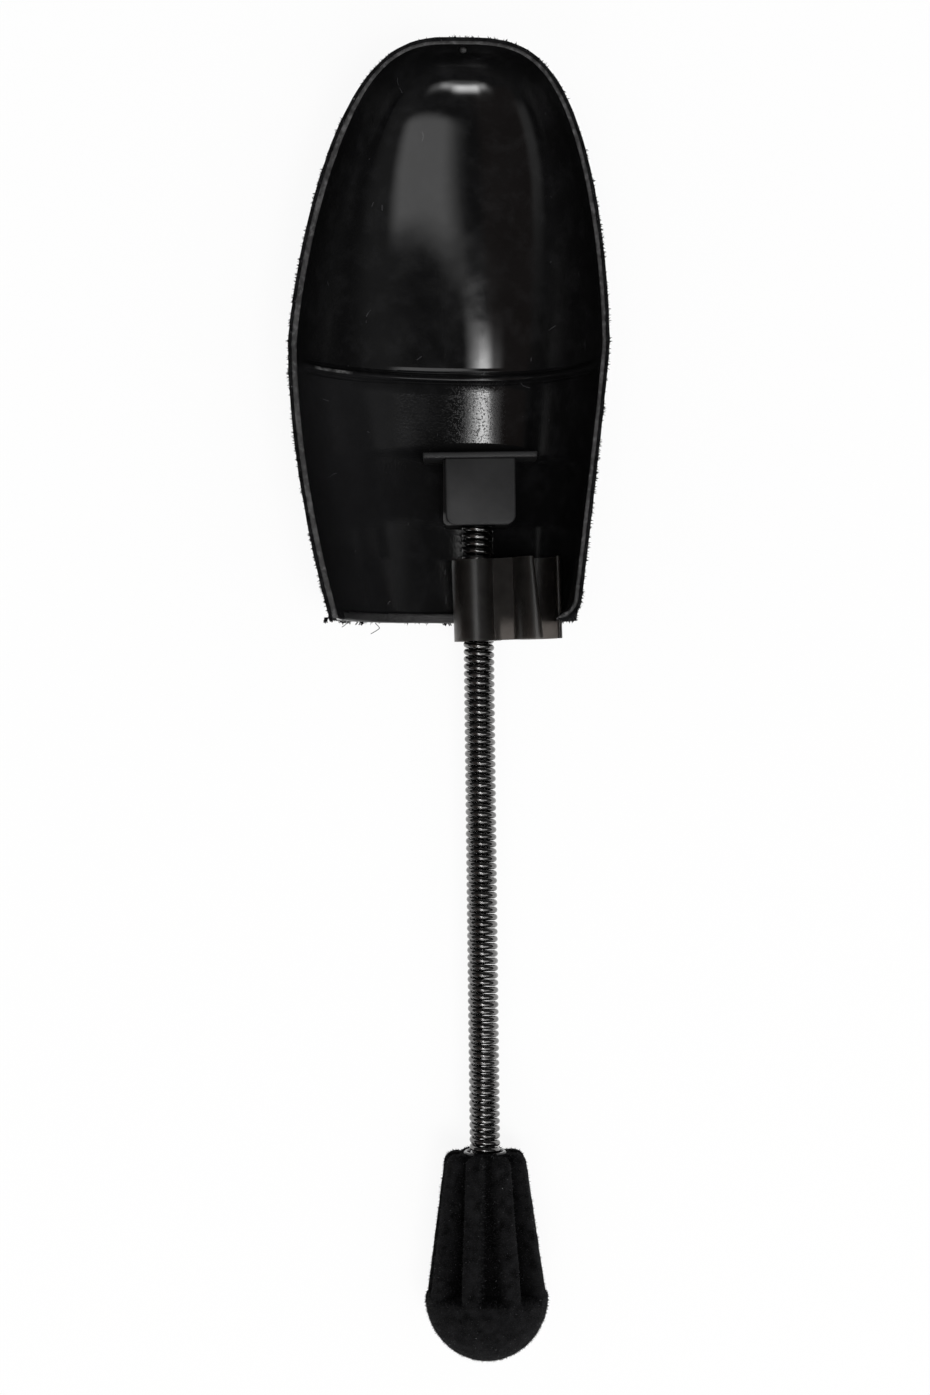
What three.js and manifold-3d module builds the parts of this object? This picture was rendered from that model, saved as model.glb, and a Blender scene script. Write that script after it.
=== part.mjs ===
// A spring shoe tree lying on its back: a velvet-covered toe shell open towards the sole, a long
// coil spring, a velvet-covered finned heel knob, and a clip on the spring that takes the spring of
// the second tree of the pair. Millimetres. +Y points to the toe, +Z out of the open sole side, and
// the origin lies on the table under the middle of the tree.
import * as THREE from 'three';
import { mergeVertices } from 'three/addons/utils/BufferGeometryUtils.js';
import Module from 'manifold-3d';

const wasm = await Module();
wasm.setup();

const rad = THREE.MathUtils.degToRad;

// Clearance between pieces that touch
const FIT_GAP = 0.3;

// Velvet: a flocked skin over the outside of the shell and of the knob
const VELVET_GAP = 0.2;
const VELVET_THICKNESS = 0.6;
const VELVET_BUILD = VELVET_GAP + VELVET_THICKNESS;

// Toe shell: plan of the rim, without the velvet
const WALL = 1.6;
const TOE_TIP_Y = 168;
const BALL_Y = 92;
const SHELL_REAR_Y = 23.5;
const SPINE_X = 2;
const LEFT = { sign: -1, halfWidth: 39.5, taper: 10.4, taperPower: 1.8, toeAcross: 2.65, toeAlong: 1.33 };
const RIGHT = { sign: 1, halfWidth: 39.4, taper: 7.6, taperPower: 1.1, toeAcross: 3.75, toeAlong: 1.72 };

// Toe shell: depth from the rim to the roof, and how square the sections are
const REAR_DEPTH = 41.2;
const TOE_DEPTH = 17;
const ROOF_POWER = 2.2;
const REAR_SQUARE = 4;
const BALL_SQUARE = 1.85;
const TOE_SQUARE = 6;
const RIM_Z = REAR_DEPTH + VELVET_BUILD;

// Toe shell: steps of the surface
const SIDE_STEPS = 8;
const TOE_STEPS = 14;
const PROFILE_STEPS = 11;
const PROFILE_POWER = 2.4;

// Moulded details inside the shell
const RIDGE_Y = 88;
const RIDGE_RADIUS = 0.95;
const LIP_RADIUS = 0.9;
const LIP_INSET = 1.3;
const RIDGE_REACH = 0.985;
const LIP_REACH = 0.9;
const BEAD_STEPS = 26;
const NUB_RADIUS = 1.2;
const NUB_X = 3.5;
const NUB_INSET = 2.2;
const NUB_DROP = 3;

// Spring: one right-handed coil on a level axis, which leans a little to the right towards the heel
const AXIS_X = 7.1;
const AXIS_LEAN_DEG = 0.7;
const WIRE = 1.45;
const COIL_RADIUS = 3.375;
const PITCH = 1.898;
const TURNS = 98;
const STEPS_PER_TURN = 8;
const WIRE_SIDES = 5;
const END_BEND = 1.2;
const END_BEND_STEPS = 3;
const SPRING_OUTER = COIL_RADIUS + WIRE / 2;
const SPRING_INNER = COIL_RADIUS - WIRE / 2;

// Clearances around the spring and inside it
const NOTCH_GAP = 0.6;
const SLEEVE_GAP = 0.95;
const CHANNEL_GAP = 1;
const SOCKET_GAP = 0.5;
const SOCKET_END_GAP = 1.2;
const BORE_GAP = 0.35;

// Spring holder: plate, cross flange and peg
const HOLDER_X = 8;
const PLATE_WIDTH = 18.1;
const PLATE_REAR_Y = 48.3;
const PLATE_THICKNESS = 1.8;
const PLATE_CORNER = 2.6;
const PLATE_OVER_SPRING = 0.45;
const FLANGE_WIDTH = 29.6;
const FLANGE_REAR_Y = 65.6;
const FLANGE_THICKNESS = 1.55;
const FLANGE_RISE = 0.5;
const PEG_LENGTH = 14;
const PEG_RADIUS = SPRING_INNER - BORE_GAP;

// Seat of the holder: moulded walls that rise from the roof
const SEAT_MARGIN = 1;
const SEAT_WALL = 1.8;
const SEAT_CORNER = 3.4;
const NOTCH_RADIUS = SPRING_OUTER + NOTCH_GAP;

// Pair clip: a loose sleeve on the spring, a web and a channel open to the upper right
const CLIP_MIDDLE_Y = 29.6;
const CLIP_LENGTH = 20.8;
const CLIP_WALL = 1.1;
const CLIP_SKEW_DEG = 2.4;
const CLIP_HANG = 0.4;
const CHANNEL_RISE_DEG = 18;
const CHANNEL_SIDE_GAP = 1.3;
const MOUTH_MIDDLE_DEG = 55;
const MOUTH_HALF_DEG = 43;
const WEB_THICKNESS = 1.3;
const WEB_START_DEG = 36;
const SLEEVE_INNER = SPRING_OUTER + SLEEVE_GAP;
const SLEEVE_OUTER = SLEEVE_INNER + CLIP_WALL;
const CHANNEL_INNER = SPRING_OUTER + CHANNEL_GAP;
const CHANNEL_OUTER = CHANNEL_INNER + CLIP_WALL;

// Heel knob: eight fins on a tapered core over a round end, without the velvet
const FINS = 8;
const FIN_HALF_WIDTH = 1.75;
const FIN_LENGTH = 33.9;
const FIN_TOP_RADIUS = 9.6;
const FIN_FOOT_RADIUS = 14.8;
const FIN_ROUND = 1.2;
const GROOVE_TOP_RADIUS = 6.5;
const GROOVE_FOOT_RADIUS = 8.3;
const LEDGE_RADIUS = 15;
const LEDGE_DROP = 2.2;
const CAP_RADIUS = 15.2;
const CAP_DROP = 0.4;
const CAP_LENGTH = 15.8;
const CAP_STEPS = 5;
const SOCKET_DEPTH = 11.5;
const SPIGOT_LENGTH = 8.6;
const COLLAR_WALL = 0.6;
const SPIGOT_RADIUS = SPRING_INNER - BORE_GAP;
const SOCKET_RADIUS = SPRING_OUTER + SOCKET_GAP;
const COLLAR_RADIUS = SOCKET_RADIUS + COLLAR_WALL;

// Heights: the knob lies on the table, and the spring's axis runs through its middle
const AXIS_Z = CAP_RADIUS + VELVET_BUILD;
const PLATE_UNDER_Z = AXIS_Z + SPRING_OUTER + PLATE_OVER_SPRING;
const PLATE_TOP_Z = PLATE_UNDER_Z + PLATE_THICKNESS;

// Places along the tree: the spring starts at the flange, and the knob sits on the spring's end
const COIL_FRONT_Y = FLANGE_REAR_Y - FIT_GAP - WIRE - END_BEND;
const SPRING_REAR_Y = COIL_FRONT_Y - PITCH * TURNS - END_BEND - WIRE;
const SOCKET_FLOOR_Y = SPRING_REAR_Y - SOCKET_END_GAP;
const SPIGOT_TOP_Y = SOCKET_FLOOR_Y + SPIGOT_LENGTH;
const KNOB_TOP_Y = SOCKET_FLOOR_Y + SOCKET_DEPTH;
const FIN_FOOT_Y = KNOB_TOP_Y - FIN_LENGTH;
const LEDGE_Y = FIN_FOOT_Y - LEDGE_DROP;
const CAP_Y = LEDGE_Y - CAP_DROP;
const KNOB_TIP_Y = CAP_Y - CAP_LENGTH;
const LEAN_Y = FLANGE_REAR_Y - PEG_LENGTH / 2;

// Places across the tree: the clip hangs on the leaning spring, its channel by the shell's right side
const CLIP_X = AXIS_X + (LEAN_Y - CLIP_MIDDLE_Y) * Math.tan(rad(AXIS_LEAN_DEG)) - CLIP_HANG;
const SHELL_REAR_RIGHT = RIGHT.halfWidth - RIGHT.taper - WALL;
const CHANNEL_X = SHELL_REAR_RIGHT - CHANNEL_SIDE_GAP - CHANNEL_OUTER - CLIP_X;

// Sides of round forms, steps of rounded outlines, and how far a cutter reaches below the roof
const CORNER_STEPS = 5;
const ROUND_STEPS = 14;
const BEAD_SIDE_STEPS = 4;
const NOTCH_SIDES = 20;
const PEG_SIDES = 16;
const NUB_SIDES = 10;
const NUB_RINGS = 6;
const CUTTER_REACH = 10;

const FULL_TURN = Math.PI * 2;

// Solids for joining and cutting
function toSolid(geometry) {
  const bare = geometry.clone();
  bare.deleteAttribute('normal');
  bare.deleteAttribute('uv');
  const merged = mergeVertices(bare);
  const vertProperties = new Float32Array(merged.attributes.position.array);
  const triVerts = new Uint32Array(merged.index.array);
  return new wasm.Manifold(new wasm.Mesh({ numProp: 3, vertProperties, triVerts }));
}

function toGeometry(solid) {
  const mesh = solid.getMesh();
  return indexed(mesh.vertProperties, mesh.triVerts);
}

function indexed(positions, indices) {
  const geometry = new THREE.BufferGeometry();
  geometry.setAttribute('position', new THREE.Float32BufferAttribute(positions, 3));
  geometry.setIndex(Array.from(indices));
  geometry.computeVertexNormals();
  return geometry;
}

// A plan outline made into a slab that rises from z
function slab(shape, z, height) {
  const options = { depth: height, bevelEnabled: false, curveSegments: CORNER_STEPS };
  return new THREE.ExtrudeGeometry(shape, options).translate(0, 0, z);
}

// A section in X and Z made into a bar that runs from y towards the heel
function bar(shape, y, length) {
  const options = { depth: length, bevelEnabled: false, curveSegments: ROUND_STEPS };
  return new THREE.ExtrudeGeometry(shape, options).rotateX(Math.PI / 2).translate(0, y, 0);
}

function rodAlongY(radius, x, z, frontY, length, sides) {
  const geometry = new THREE.CylinderGeometry(radius, radius, length, sides);
  return geometry.translate(x, frontY - length / 2, z);
}

function boxBetween(low, high) {
  const size = new THREE.Vector3().subVectors(high, low);
  const middle = new THREE.Vector3().addVectors(low, high).multiplyScalar(0.5);
  return new THREE.BoxGeometry(size.x, size.y, size.z).translate(middle.x, middle.y, middle.z);
}

// Toe shell surface: meridians run from a foot on the roof's spine out and up to the rim
function sideMeridian(side, y) {
  const back = (BALL_Y - y) / (BALL_Y - SHELL_REAR_Y);
  const width = side.halfWidth - side.taper * back ** side.taperPower;
  return {
    foot: new THREE.Vector2(SPINE_X, y),
    rim: new THREE.Vector2(side.sign * width, y),
    square: BALL_SQUARE + (REAR_SQUARE - BALL_SQUARE) * back,
  };
}

function toeMeridian(angle) {
  const side = angle < Math.PI / 2 ? RIGHT : LEFT;
  const across = Math.abs(Math.cos(angle)) ** (2 / side.toeAcross);
  const along = Math.max(0, Math.sin(angle)) ** (2 / side.toeAlong);
  const forward = Math.sin(angle) ** 2;
  const rimX = side.sign * side.halfWidth * across;
  return {
    foot: new THREE.Vector2(SPINE_X, BALL_Y),
    rim: new THREE.Vector2(rimX, BALL_Y + (TOE_TIP_Y - BALL_Y) * along),
    square: BALL_SQUARE + (TOE_SQUARE - BALL_SQUARE) * forward,
  };
}

function roofDepth(y) {
  const forward = (y - SHELL_REAR_Y) / (TOE_TIP_Y - SHELL_REAR_Y);
  return REAR_DEPTH - (REAR_DEPTH - TOE_DEPTH) * Math.max(forward, 0) ** ROOF_POWER;
}

function meridianPoint(meridian, reach) {
  const plan = meridian.foot.clone().lerp(meridian.rim, reach);
  const level = (1 - reach ** meridian.square) ** (1 / meridian.square);
  return new THREE.Vector3(plan.x, plan.y, RIM_Z - roofDepth(plan.y) * level);
}

function shellMeridians() {
  const stations = Array.from({ length: SIDE_STEPS }, (_, i) =>
    THREE.MathUtils.lerp(SHELL_REAR_Y, BALL_Y, i / SIDE_STEPS));
  const left = stations.map((y) => sideMeridian(LEFT, y));
  const right = stations.map((y) => sideMeridian(RIGHT, y)).reverse();
  const toe = Array.from({ length: TOE_STEPS + 1 }, (_, i) => toeMeridian(Math.PI * (1 - i / TOE_STEPS)));
  return [...left, ...toe, ...right];
}

// The outer surface as shared vertices: first the spine from rear to ball, then each meridian
function shellSurface() {
  const meridians = shellMeridians();
  const last = meridians.length - 1;
  const spineIndex = (m) => Math.min(m, SIDE_STEPS, last - m);
  const index = (m, j) => (j === 0 ? spineIndex(m) : SIDE_STEPS + 1 + m * PROFILE_STEPS + j - 1);
  const points = [];
  for (let m = 0; m <= SIDE_STEPS; m += 1) {
    points[m] = meridianPoint(meridians[m], 0);
  }
  meridians.forEach((meridian, m) => {
    for (let j = 1; j <= PROFILE_STEPS; j += 1) {
      const reach = Math.sin((Math.PI / 2) * (j / PROFILE_STEPS)) ** (2 / PROFILE_POWER);
      points[index(m, j)] = meridianPoint(meridian, Math.min(reach, 1));
    }
  });
  const faces = [];
  for (let m = 0; m < last; m += 1) {
    for (let j = 0; j < PROFILE_STEPS; j += 1) {
      faces.push([index(m, j), index(m, j + 1), index(m + 1, j + 1)]);
      if (index(m, j) !== index(m + 1, j)) {
        faces.push([index(m, j), index(m + 1, j + 1), index(m + 1, j)]);
      }
    }
  }
  const rim = meridians.map((_, m) => index(m, PROFILE_STEPS));
  const leftRear = Array.from({ length: PROFILE_STEPS + 1 }, (_, j) => index(0, PROFILE_STEPS - j));
  const rightRear = Array.from({ length: PROFILE_STEPS + 1 }, (_, j) => index(last, j));
  const rear = [...leftRear, ...rightRear.slice(1)];
  return { points, faces, rim, rear, normals: surfaceNormals(points, faces) };
}

function surfaceNormals(points, faces) {
  const normals = points.map(() => new THREE.Vector3());
  for (const face of faces) {
    const [a, b, c] = face.map((i) => points[i]);
    const normal = new THREE.Vector3().subVectors(b, a).cross(new THREE.Vector3().subVectors(c, a));
    face.forEach((i) => normals[i].add(normal));
  }
  return normals.map((normal) => normal.normalize());
}

const surface = shellSurface();

// A closed layer between two offsets of the shell's outer surface, flat at the rim and at the rear
function shellLayer(insideOffset, outsideOffset) {
  const count = surface.points.length;
  const rim = new Set(surface.rim);
  const rear = new Set(surface.rear);
  const offsetPoints = (offset) => surface.points.map((point, i) => {
    const moved = point.clone().addScaledVector(surface.normals[i], offset);
    return new THREE.Vector3(moved.x, rear.has(i) ? SHELL_REAR_Y : moved.y, rim.has(i) ? RIM_Z : moved.z);
  });
  const indices = [];
  for (const [a, b, c] of surface.faces) {
    indices.push(a, b, c, c + count, b + count, a + count);
  }
  const joinEdge = (from, to) => indices.push(to, from, from + count, to, from + count, to + count);
  surface.rim.slice(1).forEach((to, i) => joinEdge(surface.rim[i], to));
  const rearEdge = [...surface.rear].reverse();
  rearEdge.slice(1).forEach((to, i) => joinEdge(rearEdge[i], to));
  const positions = [...offsetPoints(outsideOffset), ...offsetPoints(insideOffset)];
  return indexed(positions.flatMap((point) => point.toArray()), indices);
}

// The inside of the wall across the shell at one station
function insideCurve(y, lastReach) {
  const halfSteps = BEAD_STEPS / 2;
  const half = (side) => Array.from({ length: halfSteps + 1 }, (_, i) => {
    const reach = lastReach * Math.sin((Math.PI / 2) * (i / halfSteps)) ** (2 / PROFILE_POWER);
    return meridianPoint(sideMeridian(side, y), reach);
  });
  const outer = [...half(LEFT).reverse(), ...half(RIGHT).slice(1)];
  const inside = outer.map((point, i) => {
    const before = outer[Math.max(i - 1, 0)];
    const after = outer[Math.min(i + 1, outer.length - 1)];
    const along = new THREE.Vector3().subVectors(after, before).normalize();
    return new THREE.Vector3(point.x - along.z * WALL, y, point.z + along.x * WALL);
  });
  return new THREE.CatmullRomCurve3(inside);
}

function bead(y, radius, lastReach) {
  const section = new THREE.Shape().absarc(0, 0, radius, 0, FULL_TURN);
  const extrudePath = insideCurve(y, lastReach);
  const options = { extrudePath, steps: BEAD_STEPS, curveSegments: BEAD_SIDE_STEPS };
  return new THREE.ExtrudeGeometry(section, options);
}

// U-shaped walls, open towards the flange, with rounded corners at the heel side
function seatOutline() {
  const half = PLATE_WIDTH / 2 + SEAT_MARGIN;
  const front = FLANGE_REAR_Y - FIT_GAP;
  const rear = PLATE_REAR_Y - SEAT_MARGIN;
  const inner = SEAT_CORNER - SEAT_WALL;
  const shape = new THREE.Shape();
  shape.moveTo(HOLDER_X - half, front);
  shape.lineTo(HOLDER_X - half, rear + SEAT_CORNER);
  shape.absarc(HOLDER_X - half + SEAT_CORNER, rear + SEAT_CORNER, SEAT_CORNER, Math.PI, Math.PI * 1.5);
  shape.absarc(HOLDER_X + half - SEAT_CORNER, rear + SEAT_CORNER, SEAT_CORNER, Math.PI * 1.5, FULL_TURN);
  shape.lineTo(HOLDER_X + half, front);
  shape.lineTo(HOLDER_X + half - SEAT_WALL, front);
  shape.absarc(HOLDER_X + half - SEAT_CORNER, rear + SEAT_CORNER, inner, FULL_TURN, Math.PI * 1.5, true);
  shape.absarc(HOLDER_X - half + SEAT_CORNER, rear + SEAT_CORNER, inner, Math.PI * 1.5, Math.PI, true);
  shape.lineTo(HOLDER_X - half + SEAT_WALL, front);
  return shape;
}

function holderSeat() {
  const walls = toSolid(slab(seatOutline(), 0, PLATE_UNDER_Z - FIT_GAP));
  const notchFront = PLATE_REAR_Y + SEAT_CORNER;
  const notchRear = PLATE_REAR_Y - SEAT_MARGIN - SEAT_WALL;
  const depth = notchFront - notchRear;
  const round = toSolid(rodAlongY(NOTCH_RADIUS, AXIS_X, AXIS_Z, notchFront, depth, NOTCH_SIDES));
  const open = toSolid(boxBetween(
    new THREE.Vector3(AXIS_X - NOTCH_RADIUS, notchRear, AXIS_Z),
    new THREE.Vector3(AXIS_X + NOTCH_RADIUS, notchFront, PLATE_TOP_Z),
  ));
  const underRoof = toSolid(shellLayer(-WALL / 2, CUTTER_REACH));
  return walls.subtract(round).subtract(open).subtract(underRoof);
}

function toeShell() {
  const nubY = TOE_TIP_Y - NUB_INSET;
  const nub = new THREE.SphereGeometry(NUB_RADIUS, NUB_SIDES, NUB_RINGS);
  nub.translate(NUB_X, nubY, RIM_Z - NUB_DROP);
  const shell = toSolid(shellLayer(-WALL, 0))
    .add(holderSeat())
    .add(toSolid(bead(RIDGE_Y, RIDGE_RADIUS, RIDGE_REACH)))
    .add(toSolid(bead(SHELL_REAR_Y + LIP_INSET, LIP_RADIUS, LIP_REACH)))
    .add(toSolid(nub));
  return toGeometry(shell);
}

function toeVelvet() {
  return shellLayer(VELVET_GAP, VELVET_BUILD);
}

// T-shaped holder: the plate lies on the seat, the flange stands on the roof, the peg fills the coil
function plateOutline() {
  const half = PLATE_WIDTH / 2;
  const front = FLANGE_REAR_Y + FLANGE_THICKNESS / 2;
  const rear = PLATE_REAR_Y;
  const shape = new THREE.Shape();
  shape.moveTo(HOLDER_X - half, front);
  shape.lineTo(HOLDER_X - half, rear + PLATE_CORNER);
  shape.absarc(HOLDER_X - half + PLATE_CORNER, rear + PLATE_CORNER, PLATE_CORNER, Math.PI, Math.PI * 1.5);
  shape.absarc(HOLDER_X + half - PLATE_CORNER, rear + PLATE_CORNER, PLATE_CORNER, Math.PI * 1.5, FULL_TURN);
  shape.lineTo(HOLDER_X + half, front);
  return shape;
}

function springHolder() {
  const half = FLANGE_WIDTH / 2;
  const flangeTop = PLATE_TOP_Z + FLANGE_RISE;
  const flange = toSolid(boxBetween(
    new THREE.Vector3(HOLDER_X - half, FLANGE_REAR_Y, 0),
    new THREE.Vector3(HOLDER_X + half, FLANGE_REAR_Y + FLANGE_THICKNESS, flangeTop),
  ));
  const pegFront = FLANGE_REAR_Y + FLANGE_THICKNESS / 2;
  const peg = toSolid(rodAlongY(PEG_RADIUS, AXIS_X, AXIS_Z, pegFront, PEG_LENGTH, PEG_SIDES));
  const roof = toSolid(shellLayer(-WALL - FIT_GAP, CUTTER_REACH));
  const plate = toSolid(slab(plateOutline(), PLATE_UNDER_Z, PLATE_THICKNESS));
  return toGeometry(flange.subtract(roof).add(plate).add(peg));
}

// Spring: centre line of the wire, with both ends bent to run straight along the axis
function springCentres() {
  const lastStep = TURNS * STEPS_PER_TURN;
  const onCoil = (angle, y) => new THREE.Vector3(
    AXIS_X + COIL_RADIUS * Math.sin(angle),
    y,
    AXIS_Z + COIL_RADIUS * Math.cos(angle),
  );
  const coil = [];
  for (let step = 0; step <= lastStep; step += 1) {
    const angle = (-FULL_TURN * step) / STEPS_PER_TURN;
    const y = COIL_FRONT_Y - (PITCH * step) / STEPS_PER_TURN;
    coil.push({ at: onCoil(angle, y), angle });
  }
  const tail = (end, ways) => {
    const sideways = new THREE.Vector3(Math.cos(end.angle), 0, -Math.sin(end.angle)).multiplyScalar(ways);
    const along = new THREE.Vector3(0, ways, 0);
    const bend = Array.from({ length: END_BEND_STEPS }, (_, i) => {
      const turn = ((Math.PI / 2) * (i + 1)) / END_BEND_STEPS;
      return end.at.clone()
        .addScaledVector(sideways, END_BEND * Math.sin(turn))
        .addScaledVector(along, END_BEND * (1 - Math.cos(turn)));
    });
    const stop = bend[bend.length - 1].clone().addScaledVector(along, WIRE);
    return [...bend, stop].map((at) => ({ at, angle: end.angle }));
  };
  return [...tail(coil[0], 1).reverse(), ...coil, ...tail(coil[lastStep], -1)];
}

function leastTurnGap(centres) {
  let least = Infinity;
  for (let i = 0; i < centres.length; i += 1) {
    for (let j = i + STEPS_PER_TURN - 2; j < Math.min(i + STEPS_PER_TURN * 3, centres.length); j += 1) {
      least = Math.min(least, centres[i].at.distanceTo(centres[j].at) - WIRE);
    }
  }
  return least;
}

function spring() {
  const centres = springCentres();
  console.log(`spring: least gap between turns ${leastTurnGap(centres).toFixed(2)} mm`);
  const positions = [];
  centres.forEach(({ at, angle }, i) => {
    const before = centres[Math.max(i - 1, 0)].at;
    const after = centres[Math.min(i + 1, centres.length - 1)].at;
    const along = new THREE.Vector3().subVectors(after, before).normalize();
    const outward = new THREE.Vector3(Math.sin(angle), 0, Math.cos(angle));
    const across = new THREE.Vector3().crossVectors(along, outward).normalize();
    const upright = new THREE.Vector3().crossVectors(across, along);
    for (let side = 0; side < WIRE_SIDES; side += 1) {
      const turn = (FULL_TURN * side) / WIRE_SIDES;
      const point = at.clone()
        .addScaledVector(upright, (WIRE / 2) * Math.cos(turn))
        .addScaledVector(across, (WIRE / 2) * Math.sin(turn));
      positions.push(...point.toArray());
    }
  });
  const indices = [];
  for (let ring = 0; ring + 1 < centres.length; ring += 1) {
    for (let side = 0; side < WIRE_SIDES; side += 1) {
      const a = ring * WIRE_SIDES + side;
      const b = ring * WIRE_SIDES + ((side + 1) % WIRE_SIDES);
      indices.push(a, b, b + WIRE_SIDES, a, b + WIRE_SIDES, a + WIRE_SIDES);
    }
  }
  const lastRing = (centres.length - 1) * WIRE_SIDES;
  for (let side = 1; side + 1 < WIRE_SIDES; side += 1) {
    indices.push(0, side + 1, side, lastRing, lastRing + side, lastRing + side + 1);
  }
  return indexed(positions, indices);
}

// Pair clip, drawn around the spring's axis with the channel to the right
function ring(x, z, inner, outer) {
  const shape = new THREE.Shape().absarc(x, z, outer, 0, FULL_TURN);
  shape.holes.push(new THREE.Path().absarc(x, z, inner, 0, FULL_TURN, true));
  return shape;
}

function pairClip() {
  const front = CLIP_LENGTH / 2;
  const channelZ = CHANNEL_X * Math.tan(rad(CHANNEL_RISE_DEG));
  const fromMouth = rad(MOUTH_MIDDLE_DEG + MOUTH_HALF_DEG);
  const toMouth = rad(MOUTH_MIDDLE_DEG - MOUTH_HALF_DEG) + FULL_TURN;
  const channelShape = new THREE.Shape();
  channelShape.absarc(CHANNEL_X, channelZ, CHANNEL_OUTER, fromMouth, toMouth);
  channelShape.absarc(CHANNEL_X, channelZ, CHANNEL_INNER, toMouth, fromMouth, true);
  const sleeve = toSolid(bar(ring(0, 0, SLEEVE_INNER, SLEEVE_OUTER), front, CLIP_LENGTH));
  const channel = toSolid(bar(channelShape, front, CLIP_LENGTH));
  const sleeveMiddle = (SLEEVE_INNER + SLEEVE_OUTER) / 2;
  const channelMiddle = (CHANNEL_INNER + CHANNEL_OUTER) / 2;
  const webFrom = new THREE.Vector2(sleeveMiddle, 0).rotateAround(new THREE.Vector2(), rad(WEB_START_DEG));
  const webTo = new THREE.Vector2(CHANNEL_X - channelMiddle, channelZ);
  const along = new THREE.Vector2().subVectors(webTo, webFrom);
  const middle = new THREE.Vector2().addVectors(webFrom, webTo).multiplyScalar(0.5);
  const web = new THREE.BoxGeometry(along.length(), CLIP_LENGTH, WEB_THICKNESS)
    .rotateY(-along.angle())
    .translate(middle.x, 0, middle.y);
  return toGeometry(sleeve.add(channel).add(toSolid(web)));
}

// Heel knob: rings of points around the spring's axis, counted from the top of the table side
function finRing(y, tip, floor, half) {
  const tipTurn = Math.asin(half / tip);
  const floorTurn = Math.asin(half / floor);
  const points = [];
  for (let fin = 0; fin < FINS; fin += 1) {
    const middle = (FULL_TURN * (fin + 0.5)) / FINS;
    const corners = [[-floorTurn, floor], [-tipTurn, tip], [0, tip], [tipTurn, tip], [floorTurn, floor]];
    corners.forEach(([turn, radius]) => points.push({ y, angle: middle + turn, radius }));
  }
  return points;
}

function roundRing(y, radius, like) {
  return like.map(({ angle }) => ({ y, angle, radius }));
}

function pole(y) {
  return [{ y, angle: 0, radius: 0 }];
}

// Outside of the knob from the collar to the tip, moved out by an offset
function knobOutside(offset) {
  const half = FIN_HALF_WIDTH + offset;
  const topY = KNOB_TOP_Y + offset;
  const topFins = finRing(topY - FIN_ROUND, FIN_TOP_RADIUS + offset, GROOVE_TOP_RADIUS + offset, half);
  const topFace = finRing(topY, FIN_TOP_RADIUS + offset - FIN_ROUND, GROOVE_TOP_RADIUS + offset, half);
  const footFins = finRing(FIN_FOOT_Y, FIN_FOOT_RADIUS + offset, GROOVE_FOOT_RADIUS + offset, half);
  const ledge = finRing(LEDGE_Y + offset, LEDGE_RADIUS + offset, GROOVE_FOOT_RADIUS + offset, half);
  const cap = Array.from({ length: CAP_STEPS }, (_, i) => {
    const turn = ((Math.PI / 2) * i) / CAP_STEPS;
    const y = CAP_Y - (CAP_Y - KNOB_TIP_Y + offset) * Math.sin(turn);
    return roundRing(y, (CAP_RADIUS + offset) * Math.cos(turn), ledge);
  });
  return [topFace, topFins, footFins, ledge, ...cap, pole(KNOB_TIP_Y - offset)];
}

// A closed skin through a list of rings that starts and ends at a pole
function ringSkin(rings) {
  const starts = [];
  const positions = [];
  for (const points of rings) {
    starts.push(positions.length / 3);
    for (const { y, angle, radius } of points) {
      positions.push(AXIS_X + radius * Math.sin(angle), y, AXIS_Z + radius * Math.cos(angle));
    }
  }
  const around = Math.max(...rings.map((points) => points.length));
  const vertex = (ringNumber, i) => starts[ringNumber] + (i % rings[ringNumber].length);
  const place = (i) => new THREE.Vector3().fromArray(positions, i * 3);
  const distance = (i, j) => place(i).distanceTo(place(j));
  const indices = [];
  for (let r = 0; r + 1 < rings.length; r += 1) {
    for (let i = 0; i < around; i += 1) {
      const [a, b] = [vertex(r, i), vertex(r, i + 1)];
      const [c, d] = [vertex(r + 1, i), vertex(r + 1, i + 1)];
      const falling = distance(a, d) < distance(b, c);
      const halves = falling ? [[a, d, b], [a, c, d]] : [[a, c, b], [b, c, d]];
      halves.filter((half) => new Set(half).size === half.length).forEach((half) => indices.push(...half));
    }
  }
  return indexed(positions, indices);
}

function heelKnob() {
  const outside = knobOutside(0);
  const like = outside[0];
  const collarY = KNOB_TOP_Y + VELVET_BUILD;
  return ringSkin([
    pole(SPIGOT_TOP_Y),
    roundRing(SPIGOT_TOP_Y, SPIGOT_RADIUS, like),
    roundRing(SOCKET_FLOOR_Y, SPIGOT_RADIUS, like),
    roundRing(SOCKET_FLOOR_Y, SOCKET_RADIUS, like),
    roundRing(collarY, SOCKET_RADIUS, like),
    roundRing(collarY, COLLAR_RADIUS, like),
    roundRing(KNOB_TOP_Y, COLLAR_RADIUS, like),
    ...outside,
  ]);
}

function heelVelvet() {
  const outside = knobOutside(VELVET_BUILD);
  const inside = knobOutside(VELVET_GAP).reverse();
  const hole = COLLAR_RADIUS + VELVET_GAP;
  const like = outside[0];
  return ringSkin([
    ...inside,
    roundRing(KNOB_TOP_Y + VELVET_GAP, hole, like),
    roundRing(KNOB_TOP_Y + VELVET_BUILD, hole, like),
    ...outside,
  ]);
}

// What hangs on the spring's leaning axis turns with it about the middle of the peg
function leaned(geometry) {
  geometry.translate(-AXIS_X, -LEAN_Y, 0);
  geometry.rotateZ(rad(AXIS_LEAN_DEG));
  return geometry.translate(AXIS_X, LEAN_Y, 0);
}

// Finishes
function finish(color, roughness, metalness = 0) {
  return new THREE.MeshStandardMaterial({ color, roughness, metalness });
}

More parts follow.
